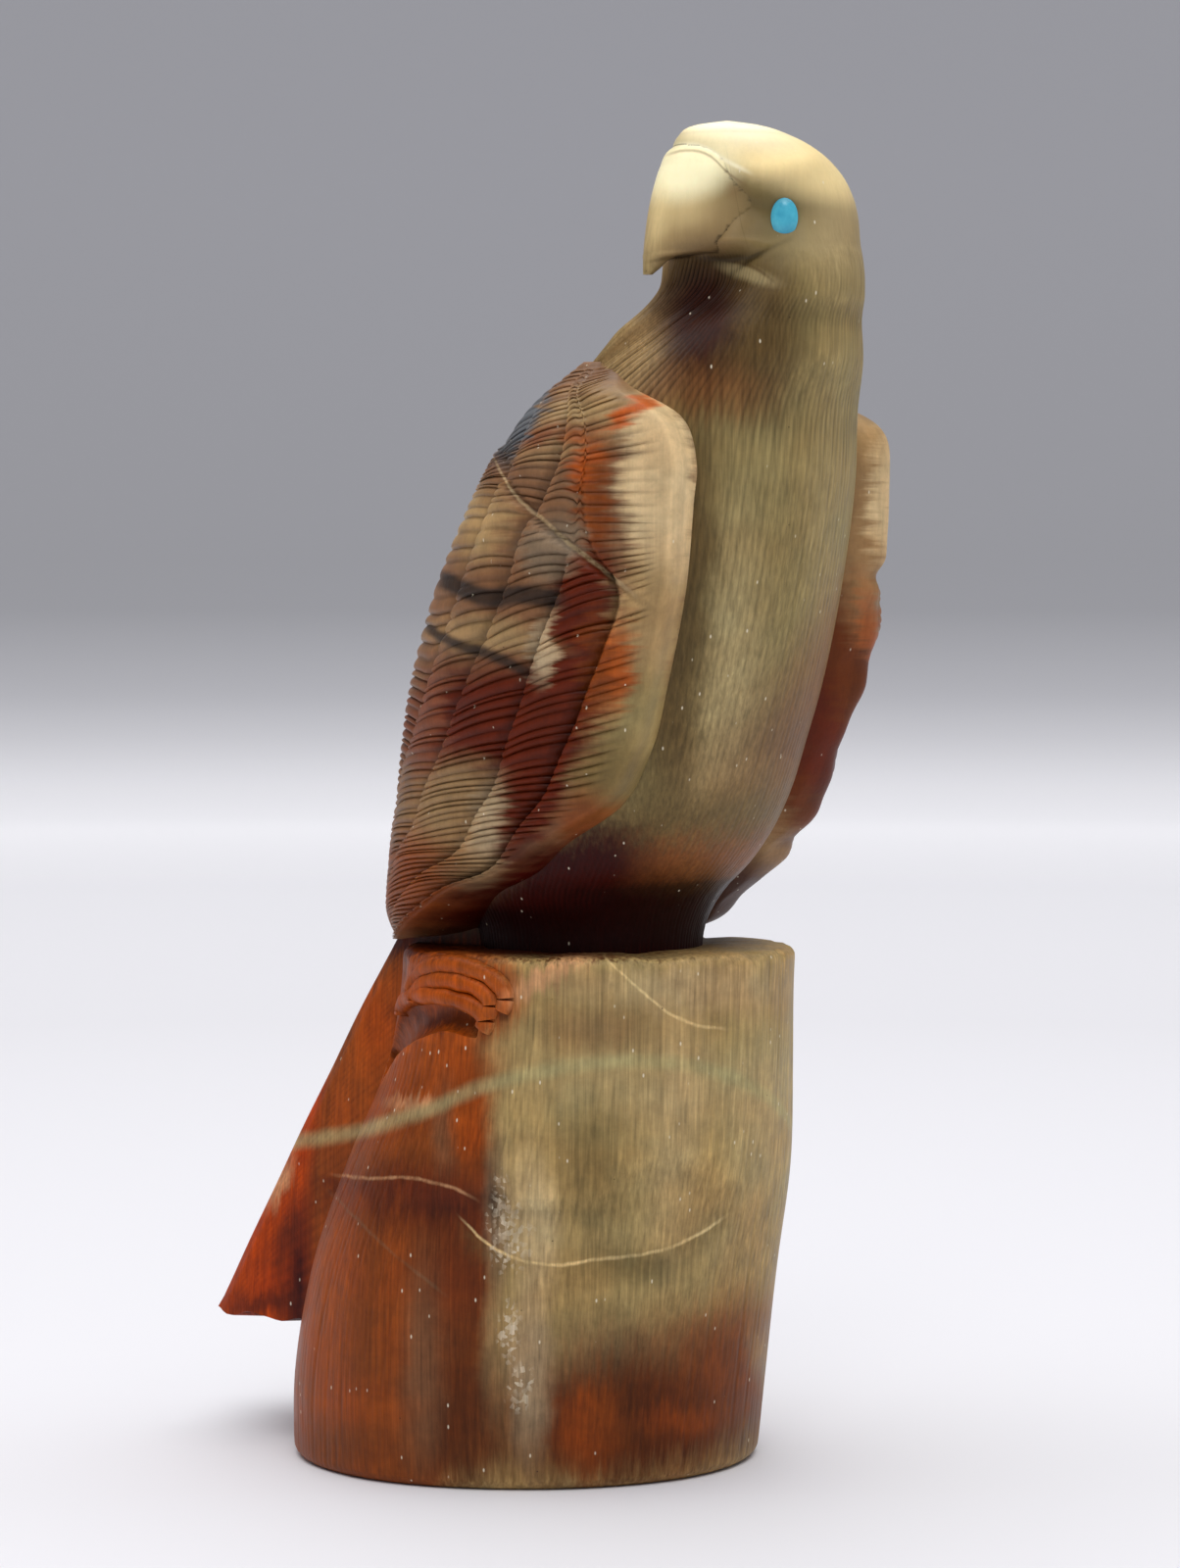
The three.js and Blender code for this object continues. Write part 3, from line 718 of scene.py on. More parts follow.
def makeWing(name, side):
    values = wingValues
    counts = [values["bandColumns"]] + [values["featherColumns"]] * feathers
    columns = sum(count + 1 for count in counts) + 1
    runs = [[index] * (count + 1) for index, count in enumerate(counts)]
    regions = np.concatenate([[0]] + runs + [[feathers]])
    shares = np.concatenate([[0]] + [np.linspace(0, 1, count + 1) for count in counts] + [[1]])
    rowsPerBarb = len(values["barbRows"])
    rows = values["barbs"] * rowsPerBarb
    draw = np.random.default_rng(40 + side)
    grid = (values["barbs"] + 2, feathers + 1)
    barbDepths = draw.uniform(0.5, 1.2, grid)
    phases = draw.uniform(-0.5, 0.5, feathers + 1) / values["barbs"]
    leans = draw.uniform(-values["lean"], values["lean"], feathers + 1)
    leans[0] = 0
    jitters = draw.uniform(-values["jitter"], values["jitter"], grid) / values["barbs"]
    # the first column shares the band's barbs, so that they run on where its step fades
    phases[1], leans[1] = phases[0], leans[0]
    jitters[:, 1], barbDepths[:, 1] = jitters[:, 0], barbDepths[:, 0]

    def surface(across, along):
        column = np.rint(across * columns).astype(int)
        row = np.rint(along * rows).astype(int)
        region, share = regions[column], shares[column]
        inner = (column == 0) | (column == columns)
        roll = values["rollShare"]
        place = along.copy()
        for _ in range(3):
            edges = edgesAt(place)
            before = np.take_along_axis(edges, np.maximum(region - 1, 0)[:, None], 1)[:, 0]
            low = np.where(region == 0, 0, before + values["edgeGap"])
            high = np.take_along_axis(edges, region[:, None], 1)[:, 0] - values["edgeGap"]
            spread = np.interp(share, [0, 0.35, 1], [0, 1, 2])
            pastRoll = roll + (spread - 1) * (high - roll)
            bandAcross = np.where(spread < 1, spread * roll, pastRoll)
            acrossWing = np.where(region == 0, bandAcross, low + (high - low) * share)
            slant = np.interp(along, slantPlaces, slantClimbs)
            inside = smoothRise(0, 0.06, along) * (1 - smoothRise(0.9, 1, along))
            shift = phases[region] + leans[region] * (acrossWing - 0.5 * (low + high))
            barb, within = row // rowsPerBarb, (row % rowsPerBarb) / rowsPerBarb
            shift = shift + jitters[barb, region] * (1 - within) + jitters[barb + 1, region] * within
            shift = shift - values["barbBow"] * share * (1 - share) * (region > 0)
            place = np.clip(along + slant * (np.minimum(acrossWing, 0.6) - 0.25) + shift * inside, 0, 1)
        leadAngle, leadHeight = np.moveaxis(leadAt(place), -1, 0)
        backAngle, backHeight = np.moveaxis(backAt(place), -1, 0)
        own = (1 - acrossWing) * (side > 0)
        drop, swells = values["leftDrop"], values["leftSwells"]
        angle = np.radians(leadAngle + (backAngle - leadAngle) * acrossWing)
        height = leadHeight + (backHeight - leadHeight) * acrossWing
        height = height - own * drop["most"] * bell(place, drop["place"], drop["spread"])
        # rolled edge, band, then the feather columns, each standing over the next
        rolled = acrossWing < roll
        rollTurn = np.clip(acrossWing / roll, 0, 1) * np.pi / 2
        lift = np.where(rolled, -values["rollHeight"] * (1 - np.sin(rollTurn)), 0)
        bandIn = np.clip((acrossWing - roll) / np.maximum(high - roll, 0.01), 0, 1)
        lift = np.where((region == 0) & ~rolled, values["bandSwell"] * np.sin(np.pi * bandIn), lift)
        risen = np.sin(np.pi / 2 * np.minimum(1, share / values["columnRise"]))
        feather = -values["columnStep"] * (1 - risen)
        # the first columns run softly into the band over the saw line
        shown = np.where(region < 3, smoothRise(0.33, 0.4, place), 1) * np.minimum(1, (high - low) / 0.08)
        lift = np.where(region > 0, feather * shown, lift)
        sawLead, sawBack = values["sawLine"]
        fromSaw = place - (sawLead + (sawBack - sawLead) * acrossWing)
        above = smoothRise(0.004, -0.002, fromSaw)
        onSaw = smoothRise(0.05, 0.12, acrossWing)
        sunk = np.clip(1 + fromSaw / 0.2, 0, 1) ** 2
        lift -= values["sawDepth"] * above * sunk * (region > 0)
        lift -= values["sawGroove"] * bell(fromSaw, 0, 0.005) * onSaw
        quill = values["quill"]
        lift -= quill["depth"] * bell(share, 0, quill["wide"]) * (region > 0) * shown
        atTop = (1 - smoothRise(0.02, 0.1, place)) * (1 - smoothRise(0.12, 0.3, acrossWing))
        lift -= values["topSink"] * atTop
        for swell in swells:
            lift += own * swell["most"] * bell(place, swell["place"], swell["spread"])
        if side > 0:
            wearAndShade, notch = values["leftWear"], values["leftNotch"]
            wornAndShaded = unevenness(birdPoint(outlineAt(height), angle, height, 0), wearAndShade["size"], 51)
            lift += wearAndShade["depth"] * wornAndShaded * smoothRise(0.04, 0.1, place) * smoothRise(1.0, 0.9, place)
            lift -= notch["depth"] * own * bell(place, notch["place"], notch["spread"])
        # barbs: one fine cut across the rows of each
        cut = np.array(values["barbRows"])[row % rowsPerBarb]
        onBand = values["bandBarbDepth"] * smoothRise(0.0, 0.45, bandIn)
        depth = barbDepths[barb, region] * np.where(region == 0, onBand, values["barbDepth"])
        depth *= smoothRise(0.0, 0.03, along) * (1 - 0.6 * bell(fromSaw, 0, 0.01))
        lift -= depth * cut
        points = birdPoint(outlineAt(height), angle, height, lift)
        middle = 0.5 * (leadAt(along)[:, 1] + backAt(along)[:, 1])
        lean = outlineAt(middle)[:, 0]
        core = np.stack([0 * middle, -lean * birdHeight, stumpValues["height"] + middle * birdHeight], -1)
        points = np.where(inner[:, None], core, points)
        points[:, 0] *= side
        return points

    return wrapGrid(name, columns, rows, surface)


shade(eagle, 50)
rightWing, leftWing = makeWing("rightWing", -1), makeWing("leftWing", 1)
for wing in (rightWing, leftWing):
    shade(wing, 60)
birdPieces = (eagle, rightWing, leftWing)
print("wings made")

# Eye inlays
eyeValues = {
    "length": 1.9,
    "tall": 2.75,
    "dome": 0.3,
    "depth": 1.8,
    "proud": 0.3,
    "segments": 48,
    "rings": 32,
    # how flat the dome is, and how square its outline
    "flatness": 2.2,
    "fullness": 0.55,
}


def eyeFrame(side):
    eye = bodyValues["eye"]
    middle, front, _, halfWidth = headAt(eye["height"])
    cosine = (eye["along"] - middle) / front
    sine = math.sqrt(1 - cosine * cosine)
    out = (beakWay * cosine / front + asideWay * side * sine / halfWidth)
    out /= np.linalg.norm(out)
    place = headMiddle + birdHeight * (beakWay * eye["along"] + asideWay * side * halfWidth * sine)
    place[2] = stumpValues["height"] + eye["height"] * birdHeight
    place = place - out * (eye["depth"] - eyeValues["proud"])
    up = Vector((0, 0, 1))
    outward = Vector(out)
    basis = Matrix((outward.cross(up), outward, up)).transposed().to_4x4()
    return Matrix.Translation(Vector(place) * mm) @ basis


def makeEye(name, side):
    values = eyeValues
    shape = bmesh.new()
    bmesh.ops.create_uvsphere(shape, u_segments=values["segments"], v_segments=values["rings"], radius=1)
    for vertex in shape.verts:
        x, y, z = vertex.co
        flat = math.copysign(abs(z) ** values["flatness"], z)
        reach = math.sqrt(max(0.0, 1 - z * z)) ** values["fullness"] if abs(z) < 0.9999 else 0
        turn = math.atan2(y, x)
        out = values["dome"] if flat > 0 else values["depth"]
        halfLength, halfTall = 0.5 * values["length"], 0.5 * values["tall"]
        vertex.co = (halfLength * reach * math.cos(turn), out * flat, halfTall * reach * math.sin(turn))
    bmesh.ops.scale(shape, vec=(mm, mm, mm), verts=shape.verts)
    bmesh.ops.transform(shape, matrix=eyeFrame(side), verts=shape.verts)
    bmesh.ops.remove_doubles(shape, verts=shape.verts, dist=1e-8)
    bmesh.ops.recalc_face_normals(shape, faces=shape.faces)
    for face in shape.faces:
        face.smooth = True
    return newPiece(name, shape)


leftEye = makeEye("leftEyeInlay", 1)
rightEye = makeEye("rightEyeInlay", -1)
print("eyes made")

for piece in (stump, *birdPieces):
    markShadingRelief(piece)
    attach(piece, "root")
    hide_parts("eagle_on_stump")
for piece, node in ((leftEye, "left_eye_inlay"), (rightEye, "right_eye_inlay")):
    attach(piece, "root")
    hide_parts(node)


# Shader groups shared by the stones
def newGroup(name, inputs, outputs):
    group = bpy.data.node_groups.new(name, "ShaderNodeTree")
    for title, kind, value in inputs:
        socket = group.interface.new_socket(title, in_out="INPUT", socket_type="NodeSocket" + kind)
        if value is not None:
            socket.default_value = value
    for title, kind in outputs:
        group.interface.new_socket(title, in_out="OUTPUT", socket_type="NodeSocket" + kind)
    return group, group.nodes.new("NodeGroupInput"), group.nodes.new("NodeGroupOutput")


def newMaterial(name):
    material = bpy.data.materials.new(name)
    material.use_nodes = True
    return material, material.node_tree, material.node_tree.nodes["Principled BSDF"]


# Adds a node, sets its properties, and links or sets its inputs by name or number
def addNode(tree, kind, inputs=None, **settings):
    node = tree.nodes.new("ShaderNode" + kind)
    for key, value in settings.items():
        setattr(node, key, value)
    for key, value in (inputs or {}).items():
        if isinstance(value, bpy.types.NodeSocket):
            tree.links.new(value, node.inputs[key])
        else:
            node.inputs[key].default_value = value
    return node


def calculate(tree, operation, first, second=0.0, third=0.0):
    return addNode(tree, "Math", {0: first, 1: second, 2: third}, operation=operation).outputs[0]


def vectorPair(tree, operation, first, second):
    return addNode(tree, "VectorMath", {0: first, 1: second}, operation=operation).outputs[0]


def scaled(tree, vector, share):
    return addNode(tree, "VectorMath", {0: vector, "Scale": share}, operation="SCALE").outputs[0]


def stretched(tree, vector, scale):
    return addNode(tree, "Mapping", {"Vector": vector, "Scale": scale}).outputs[0]


def noise(tree, place, scale, detail, roughness=0.5, output="Fac"):
    inputs = {"Vector": place, "Scale": scale, "Detail": detail, "Roughness": roughness}
    return addNode(tree, "TexNoise", inputs).outputs[output]


# A value brought from one range to another, in a straight line or softly at both ends
def mapRange(tree, value, low, high, least=0.0, most=1.0, soft=False):
    inputs = {"Value": value, "From Min": low, "From Max": high, "To Min": least, "To Max": most}
    kind = "SMOOTHSTEP" if soft else "LINEAR"
    return addNode(tree, "MapRange", inputs, interpolation_type=kind).outputs[0]


def useGroup(tree, group, inputs):
    return addNode(tree, "Group", inputs, node_tree=group)


# Where a point of the stone stands in the photograph, in its pixels, seen from one fixed place.
# A coarse ripple bends the edges of the colours and a drawn-out one frays them along the grain.
photoValues = {
    "middle": 602,
    "horizon": 645,
    "height": 1600,
    "focal": 4216,
    "away": 310.1,
    "side": 4.82,
    "eyeHeight": 61.7,
    "turn": 50,
}
# above the calm height, which lies over the top of most pieces, the edges hardly stir
calmValues = {"none": 200.0, "from": -3.0, "to": 2.0, "least": 0.1}
coarseNoise = {"scale": 0.2, "detail": 6.0, "roughness": 0.62}
frayNoise = {"scale": 1.0, "detail": 4.0, "roughness": 0.6}
gapNoise = {"scale": 0.7, "detail": 5.0, "roughness": 0.7}
gapValues = {"from": 0.36, "to": 0.6, "least": 0.25}
lineCalm = 0.3
placeInputs = [
    ("Ripple", "Float", 50.0),
    ("Fibre", "Vector", (2.0, 2.0, 0.06)),
    ("Fray", "Vector", (4.0, 80.0, 0.0)),
    ("Calm", "Float", calmValues["none"]),
]
placeTitles = ("Across", "Down", "Depth", "LineAcross", "LineDown", "Broken")
placeOutputs = [(title, "Float") for title in placeTitles]
placeGroup, placeIn, placeOut = newGroup("stonePlace", placeInputs, placeOutputs)


# Object coordinates in millimetres, turned so that the second runs away from the photograph's eye
def turnedPlace(tree):
    inputs = {
        "Vector": addNode(tree, "TexCoord").outputs["Object"],
        "Rotation": (0, 0, math.radians(photoValues["turn"])),
        "Scale": (1 / mm, 1 / mm, 1 / mm),
    }
    return addNode(tree, "Mapping", inputs).outputs[0]


turned = turnedPlace(placeGroup)
parts = addNode(placeGroup, "SeparateXYZ", {0: turned}).outputs
away = calculate(placeGroup, "ADD", parts[1], photoValues["away"])
reach = calculate(placeGroup, "DIVIDE", photoValues["focal"], away)
fromSide = calculate(placeGroup, "SUBTRACT", parts[0], photoValues["side"])
flatX = calculate(placeGroup, "MULTIPLY_ADD", fromSide, reach, photoValues["middle"])
belowEye = calculate(placeGroup, "SUBTRACT", photoValues["eyeHeight"], parts[2])
flatY = calculate(placeGroup, "MULTIPLY_ADD", belowEye, reach, photoValues["horizon"])
placed = addNode(placeGroup, "CombineXYZ", {0: flatX, 1: flatY}).outputs[0]
above = calculate(placeGroup, "SUBTRACT", parts[2], placeIn.outputs["Calm"])
lively = mapRange(placeGroup, above, calmValues["from"], calmValues["to"], 1.0, calmValues["least"])
coarse = noise(placeGroup, turned, *coarseNoise.values(), "Color")
coarse = vectorPair(placeGroup, "SUBTRACT", coarse, (0.5, 0.5, 0.5))
fibre = vectorPair(placeGroup, "MULTIPLY", turned, placeIn.outputs["Fibre"])
fray = noise(placeGroup, fibre, *frayNoise.values())
fray = calculate(placeGroup, "MULTIPLY", calculate(placeGroup, "SUBTRACT", fray, 0.5), lively)
bend = calculate(placeGroup, "MULTIPLY", placeIn.outputs["Ripple"], lively)
lineBend = calculate(placeGroup, "MULTIPLY", bend, lineCalm)
linePlace = vectorPair(placeGroup, "ADD", placed, scaled(placeGroup, coarse, lineBend))
for ripple in (scaled(placeGroup, coarse, bend), scaled(placeGroup, placeIn.outputs["Fray"], fray)):
    placed = vectorPair(placeGroup, "ADD", placed, ripple)
gaps = noise(placeGroup, turned, *gapNoise.values())
gaps = mapRange(placeGroup, gaps, gapValues["from"], gapValues["to"], gapValues["least"])
placeGroup.links.new(gaps, placeOut.inputs["Broken"])
placeGroup.links.new(parts[1], placeOut.inputs["Depth"])
for vector, titles in ((placed, ("Across", "Down")), (linePlace, ("LineAcross", "LineDown"))):
    split = addNode(placeGroup, "SeparateXYZ", {0: vector}).outputs
    for title, value in zip(titles, split):
        placeGroup.links.new(value, placeOut.inputs[title])

# One soft-edged oval of another colour
patchGroup, patchIn, patchOut = newGroup(
    "stonePatch",
    [
        ("Place", "Vector", None),
        ("Centre", "Vector", None),
        ("Turn", "Vector", None),
        ("Size", "Vector", None),
        ("Outer", "Float", 1.3),
        ("Inner", "Float", 0.7),
        ("Strength", "Float", 1.0),
    ],
    [("Mask", "Float")],
)
patch = patchIn.outputs
centring = {
    "Vector": patch["Place"],
    "Location": patch["Centre"],
    "Rotation": patch["Turn"],
    "Scale": patch["Size"],
}
centred = addNode(patchGroup, "Mapping", centring, vector_type="TEXTURE").outputs[0]
distance = addNode(patchGroup, "VectorMath", {0: centred}, operation="LENGTH").outputs["Value"]
mask = mapRange(patchGroup, distance, patch["Outer"], patch["Inner"], 0.0, patch["Strength"], soft=True)
patchGroup.links.new(mask, patchOut.inputs["Mask"])


def linear(colour):
    return tuple(((c / 255 + 0.055) / 1.055) ** 2.4 if c > 10 else c / 255 / 12.92 for c in colour) + (1.0,)


def mixColour(tree, mask, under, over):
    return addNode(tree, "Mix", {0: mask, 6: under, 7: over}, data_type="RGBA").outputs[2]


# Mask of one oval: place and half size in the photograph, turn in degrees, softness, strength
def ovalMask(tree, place, x, y, wide, tall, turn, soft, strength):
    inputs = {
        "Place": place,
        "Centre": (x, y, 0),
        "Turn": (0, 0, math.radians(turn)),
        "Size": (wide, tall, 70),
        "Outer": 1 + soft,
        "Inner": 1 - soft,
        "Strength": strength,
    }
    return useGroup(tree, patchGroup, inputs).outputs["Mask"]


# Paints ovals one over another, all of them through one mask where it is given
def paintPatches(tree, place, under, patches, through=None):
    for tone, *shape in patches:
        mask = ovalMask(tree, place, *shape)
        if through is not None:
            mask = calculate(tree, "MULTIPLY", mask, through)
        under = mixColour(tree, mask, under, linear(tones[tone]))
    return under


lineFade = 12.0


# Paints a line across the photograph: points from left to right, half width in pixels, softness and
# strength; with a fall the colour fades away below the line over that many pixels instead
def paintLine(tree, place, broken, under, tone, points, halfWidth, soft, strength, fall=0):
    parts = addNode(tree, "SeparateXYZ", {0: place}).outputs
    size = photoValues["height"]
    course = addNode(tree, "FloatCurve", {"Value": calculate(tree, "DIVIDE", parts[0], size)})
    knots = course.mapping.curves[0].points
    knots[0].location = (points[0][0] / size, points[0][1] / size)
    knots[1].location = (points[-1][0] / size, points[-1][1] / size)
    for first, second in points[1:-1]:
        knots.new(first / size, second / size)
    course.mapping.update()
    gap = calculate(tree, "SUBTRACT", parts[1], calculate(tree, "MULTIPLY", course.outputs[0], size))
    if fall:
        edge = mapRange(tree, gap, -halfWidth, halfWidth)
        line = calculate(tree, "MULTIPLY", edge, mapRange(tree, gap, fall, 0.0, soft=True))
    else:
        away = calculate(tree, "ABSOLUTE", gap)
        line = mapRange(tree, away, halfWidth * (1 + soft), halfWidth * (1 - soft), soft=True)
    for end, inward in ((points[0][0], lineFade), (points[-1][0], -lineFade)):
        within = mapRange(tree, parts[0], end - inward, end + inward, soft=True)
        line = calculate(tree, "MULTIPLY", line, within)
    line = calculate(tree, "MULTIPLY", calculate(tree, "MULTIPLY", line, broken), strength)
    return mixColour(tree, line, under, linear(tones[tone]))


# Fine life of the stone over its painted colour: clouding, drawn-out grain, painted shade in the hollows,
# painted highlight on the ridges, painted glints and dark pits
finishAndShadingGroup, finishAndShadingIn, finishAndShadingOut = newGroup(
    "stoneFinishAndShading",
    [
        ("Color", "Color", None),
        ("Grain", "Float", 0.5),
        ("Cloud", "Float", 1.0),
        ("Hollow", "Float", -0.07),
        ("Ridge", "Float", 0.05),
        ("Lighten", "Float", 1.3),
        ("Darken", "Float", 0.5),
    ],
    [("Color", "Color"), ("Roughness", "Float"), ("Height", "Float")],
)
body = turnedPlace(finishAndShadingGroup)


# Spreads the middle of a noise to the given range
def spreadNoise(tree, value, least, most):
    return mapRange(tree, value, 0.3, 0.7, least, most)


# Brings a factor near one back towards one as the share falls
def eased(tree, factor, share):
    return calculate(tree, "MULTIPLY_ADD", calculate(tree, "SUBTRACT", factor, 1.0), share, 1.0)


# noises: scale, detail and roughness, the drawn-out ones after the stretch of their places
grainStretch, streakStretch = (2.6, 2.6, 0.06), (6.0, 6.0, 0.07)
finishNoises = {
    "cloud": (0.55, 8.0, 0.68),
    "grain": (1.0, 3.0, 0.7),
    "streak": (1.0, 2.0),
    "slow": (0.21, 4.0),
    "fine": (3.5, 6.0),
}
# least and most of what each noise does to the tone, and of the roughness
finishRanges = {
    "streak": (0.84, 1.16),
    "cloud": (0.78, 1.2),
    "grain": (0.76, 1.22),
    "roughness": (0.34, 0.5),
}
warmTone = (1.1, 0.96, 0.86)
fineShare = 0.5
# painted highlights as pale glints drawn out with the grain, and a few dark pits: stretch of their places,
# sizes where they end and where they are full, share of places left bare, colour and strength
glintAndPitValues = [
    ((1.5, 1.5, 0.7), 0.13, 0.06, 0.8, (236, 226, 200), 0.75),
    ((0.9, 0.9, 0.9), 0.07, 0.03, 0.86, (52, 38, 26), 0.8),
]
finishAndShading = finishAndShadingIn.outputs
cloud = noise(finishAndShadingGroup, body, *finishNoises["cloud"])
grain = noise(finishAndShadingGroup, stretched(finishAndShadingGroup, body, grainStretch), *finishNoises["grain"])
streak = noise(finishAndShadingGroup, stretched(finishAndShadingGroup, body, streakStretch), *finishNoises["streak"])
wornAndShaded = addNode(finishAndShadingGroup, "Attribute", attribute_name="wearAndShade").outputs["Fac"]
factors = [
    eased(finishAndShadingGroup, spreadNoise(finishAndShadingGroup, cloud, *finishRanges["cloud"]), finishAndShading["Cloud"]),
    eased(finishAndShadingGroup, spreadNoise(finishAndShadingGroup, grain, *finishRanges["grain"]), finishAndShading["Grain"]),
    eased(finishAndShadingGroup, spreadNoise(finishAndShadingGroup, streak, *finishRanges["streak"]), finishAndShading["Grain"]),
    # painted shade in the hollows and painted highlight on the ridges, by how far each point stands out
    mapRange(finishAndShadingGroup, wornAndShaded, finishAndShading["Hollow"], 0.0, finishAndShading["Darken"], 1.0),
    mapRange(finishAndShadingGroup, wornAndShaded, 0.0, finishAndShading["Ridge"], 1.0, finishAndShading["Lighten"]),
]
shadeBy = factors[0]
for factor in factors[1:]:
    shadeBy = calculate(finishAndShadingGroup, "MULTIPLY", shadeBy, factor)
toned = scaled(finishAndShadingGroup, finishAndShading["Color"], shadeBy)
slow = noise(finishAndShadingGroup, body, *finishNoises["slow"])
warmth = calculate(finishAndShadingGroup, "MULTIPLY", spreadNoise(finishAndShadingGroup, slow, 0.0, 1.0), finishAndShading["Cloud"])
toned = mixColour(finishAndShadingGroup, warmth, toned, vectorPair(finishAndShadingGroup, "MULTIPLY", toned, warmTone))
for stretch, edge, full, bare, colour, strength in glintAndPitValues:
    spaced = stretched(finishAndShadingGroup, body, stretch)
    cells = addNode(finishAndShadingGroup, "TexVoronoi", {"Vector": spaced, "Scale": 1.0})
    dot = mapRange(finishAndShadingGroup, cells.outputs["Distance"], edge, full)
    lot = addNode(finishAndShadingGroup, "SeparateColor", {0: cells.outputs["Color"]}).outputs[0]
    spot = calculate(finishAndShadingGroup, "MULTIPLY", dot, calculate(finishAndShadingGroup, "GREATER_THAN", lot, bare))
    spot = calculate(finishAndShadingGroup, "MULTIPLY", spot, strength)
    toned = mixColour(finishAndShadingGroup, spot, toned, linear(colour))
fine = calculate(finishAndShadingGroup, "MULTIPLY", noise(finishAndShadingGroup, body, *finishNoises["fine"]), fineShare)
finished = {
    "Color": toned,
    "Roughness": spreadNoise(finishAndShadingGroup, cloud, *finishRanges["roughness"]),
    "Height": calculate(finishAndShadingGroup, "MULTIPLY_ADD", grain, finishAndShading["Grain"], fine),
}
for title, value in finished.items():
    finishAndShadingGroup.links.new(value, finishAndShadingOut.inputs[title])

tones = {
    "olive": (140, 124, 80),
    "stumpOlive": (162, 141, 92),
    "shade": (92, 76, 44),
    "paleOlive": (176, 160, 116),
    "oliveDark": (108, 92, 54),
    # dark umber painted as the shadow under the jaw and the beak
    "umber": (76, 56, 28),
    # dark wine painted as the shadow on the throat under the beak
    "wineShadow": (50, 20, 8),
    # pale bone, brightened as a painted highlight on the crown and along the cere
    "bone": (255, 246, 210),
    "cream": (236, 212, 154),
    # pale ivory, brightened as a painted highlight on the top of the beak
    "ivoryHighlight": (255, 246, 200),
    "lightCream": (196, 174, 132),
    "sand": (156, 132, 90),
    "fawn": (130, 104, 70),
    "tan": (116, 86, 60),
    "rust": (150, 70, 14),
    "rustBright": (172, 76, 8),
    "rustBrown": (116, 58, 18),
    "bark": (86, 40, 8),
    "orange": (160, 58, 0),
    "peach": (196, 150, 108),
    "maroon": (80, 26, 6),
    # dark red, darkened further as painted shadow under the belly and beside the stump
    "deepRedShadow": (46, 3, 0),
    "mauve": (100, 72, 52),
    "mauveRed": (114, 66, 42),
    "greyBlue": (84, 88, 92),
    "charcoal": (44, 34, 27),
    "greyStone": (116, 100, 80),
    "paleStone": (160, 142, 112),
    "white": (206, 198, 176),
    "greenWhite": (166, 162, 116),
}


shaderValues = {
    "IOR": 1.5,
    "Specular IOR Level": 0.13,
    "Subsurface Weight": 0.06,
    "Subsurface Radius": (1.0, 0.6, 0.35),
    "Subsurface Scale": 0.0014,
}
bumpValues = {"Strength": 0.3, "Distance": 0.00012}
gritValues = {"scale": 3.2, "from": 1.0, "to": 1.7, "most": 0.8}
# shares of the grain and the clouding that a smooth oval takes away
smoothValues = {"grain": 0.9, "cloud": 0.75}
farSoftness = 0.5


# A stone of one base tone with painted patches and lines; far patches are only behind the given depth
def stoneMaterial(name, values, patches, lines=(), farPatches=()):
    material, tree, shader = newMaterial(name)
    inputs = {title.capitalize(): values[title] for title in ("ripple", "fibre", "fray")}
    inputs["Calm"] = values.get("calm", calmValues["none"])
    places = useGroup(tree, placeGroup, inputs).outputs
    place = addNode(tree, "CombineXYZ", {0: places["Across"], 1: places["Down"]}).outputs[0]
    linePlace = addNode(tree, "CombineXYZ", {0: places["LineAcross"], 1: places["LineDown"]}).outputs[0]
    colour = paintPatches(tree, place, linear(tones[values["base"]]), patches)
    if farPatches:
        start = values["farFrom"]
        far = mapRange(tree, places["Depth"], start - farSoftness, start + farSoftness)
        colour = paintPatches(tree, place, colour, farPatches, far)
    for tone, points, halfWidth, *rest in lines:
        broken = places["Broken"] if halfWidth < values["brokenBelow"] else 1.0
        colour = paintLine(tree, linePlace, broken, colour, tone, points, halfWidth, *rest)
    if "grit" in values:
        cells = addNode(tree, "TexVoronoi", {"Vector": turnedPlace(tree), "Scale": gritValues["scale"]})
        bright = addNode(tree, "SeparateColor", {0: cells.outputs["Color"]}).outputs[0]
        for oval in values["grit"]:
            near = calculate(tree, "ADD", ovalMask(tree, place, *oval), bright)
            shown = mapRange(tree, near, gritValues["from"], gritValues["to"], 0.0, gritValues["most"])
            colour = mixColour(tree, shown, colour, linear(tones["white"]))
    life = {title: values[title] for title in smoothValues}
    for oval in values.get("smooth", ()):
        mask = ovalMask(tree, place, *oval)
        for title, share in smoothValues.items():
            life[title] = calculate(tree, "MULTIPLY_ADD", mask, -share * values[title], life[title])
    # hollow and darken set the painted shade in the hollows; ridge and lighten set the painted highlight on
    # the ridges
    inputs = {title.capitalize(): values[title] for title in ("hollow", "ridge", "lighten", "darken")}
    inputs.update({"Color": colour, "Grain": life["grain"], "Cloud": life["cloud"]})
    finishAndShading = useGroup(tree, finishAndShadingGroup, inputs).outputs
    bump = addNode(tree, "Bump", {"Height": finishAndShading["Height"], **bumpValues})
    tree.links.new(finishAndShading["Color"], shader.inputs["Base Color"])
    tree.links.new(finishAndShading["Roughness"], shader.inputs["Roughness"])
    tree.links.new(bump.outputs["Normal"], shader.inputs["Normal"])
    for title, value in shaderValues.items():
        shader.inputs[title].default_value = value
    return material


paleBand = [(200, 1172), (300, 1165), (363, 1156), (430, 1136), (500, 1108), (610, 1086)]
paleBand += [(700, 1088), (770, 1110), (815, 1156)]
rustLine = [(320, 1200), (345, 1203), (380, 1206), (415, 1206), (450, 1212), (490, 1228)]
foldLine = [(510, 1278), (560, 1293), (620, 1286), (680, 1276), (735, 1247)]
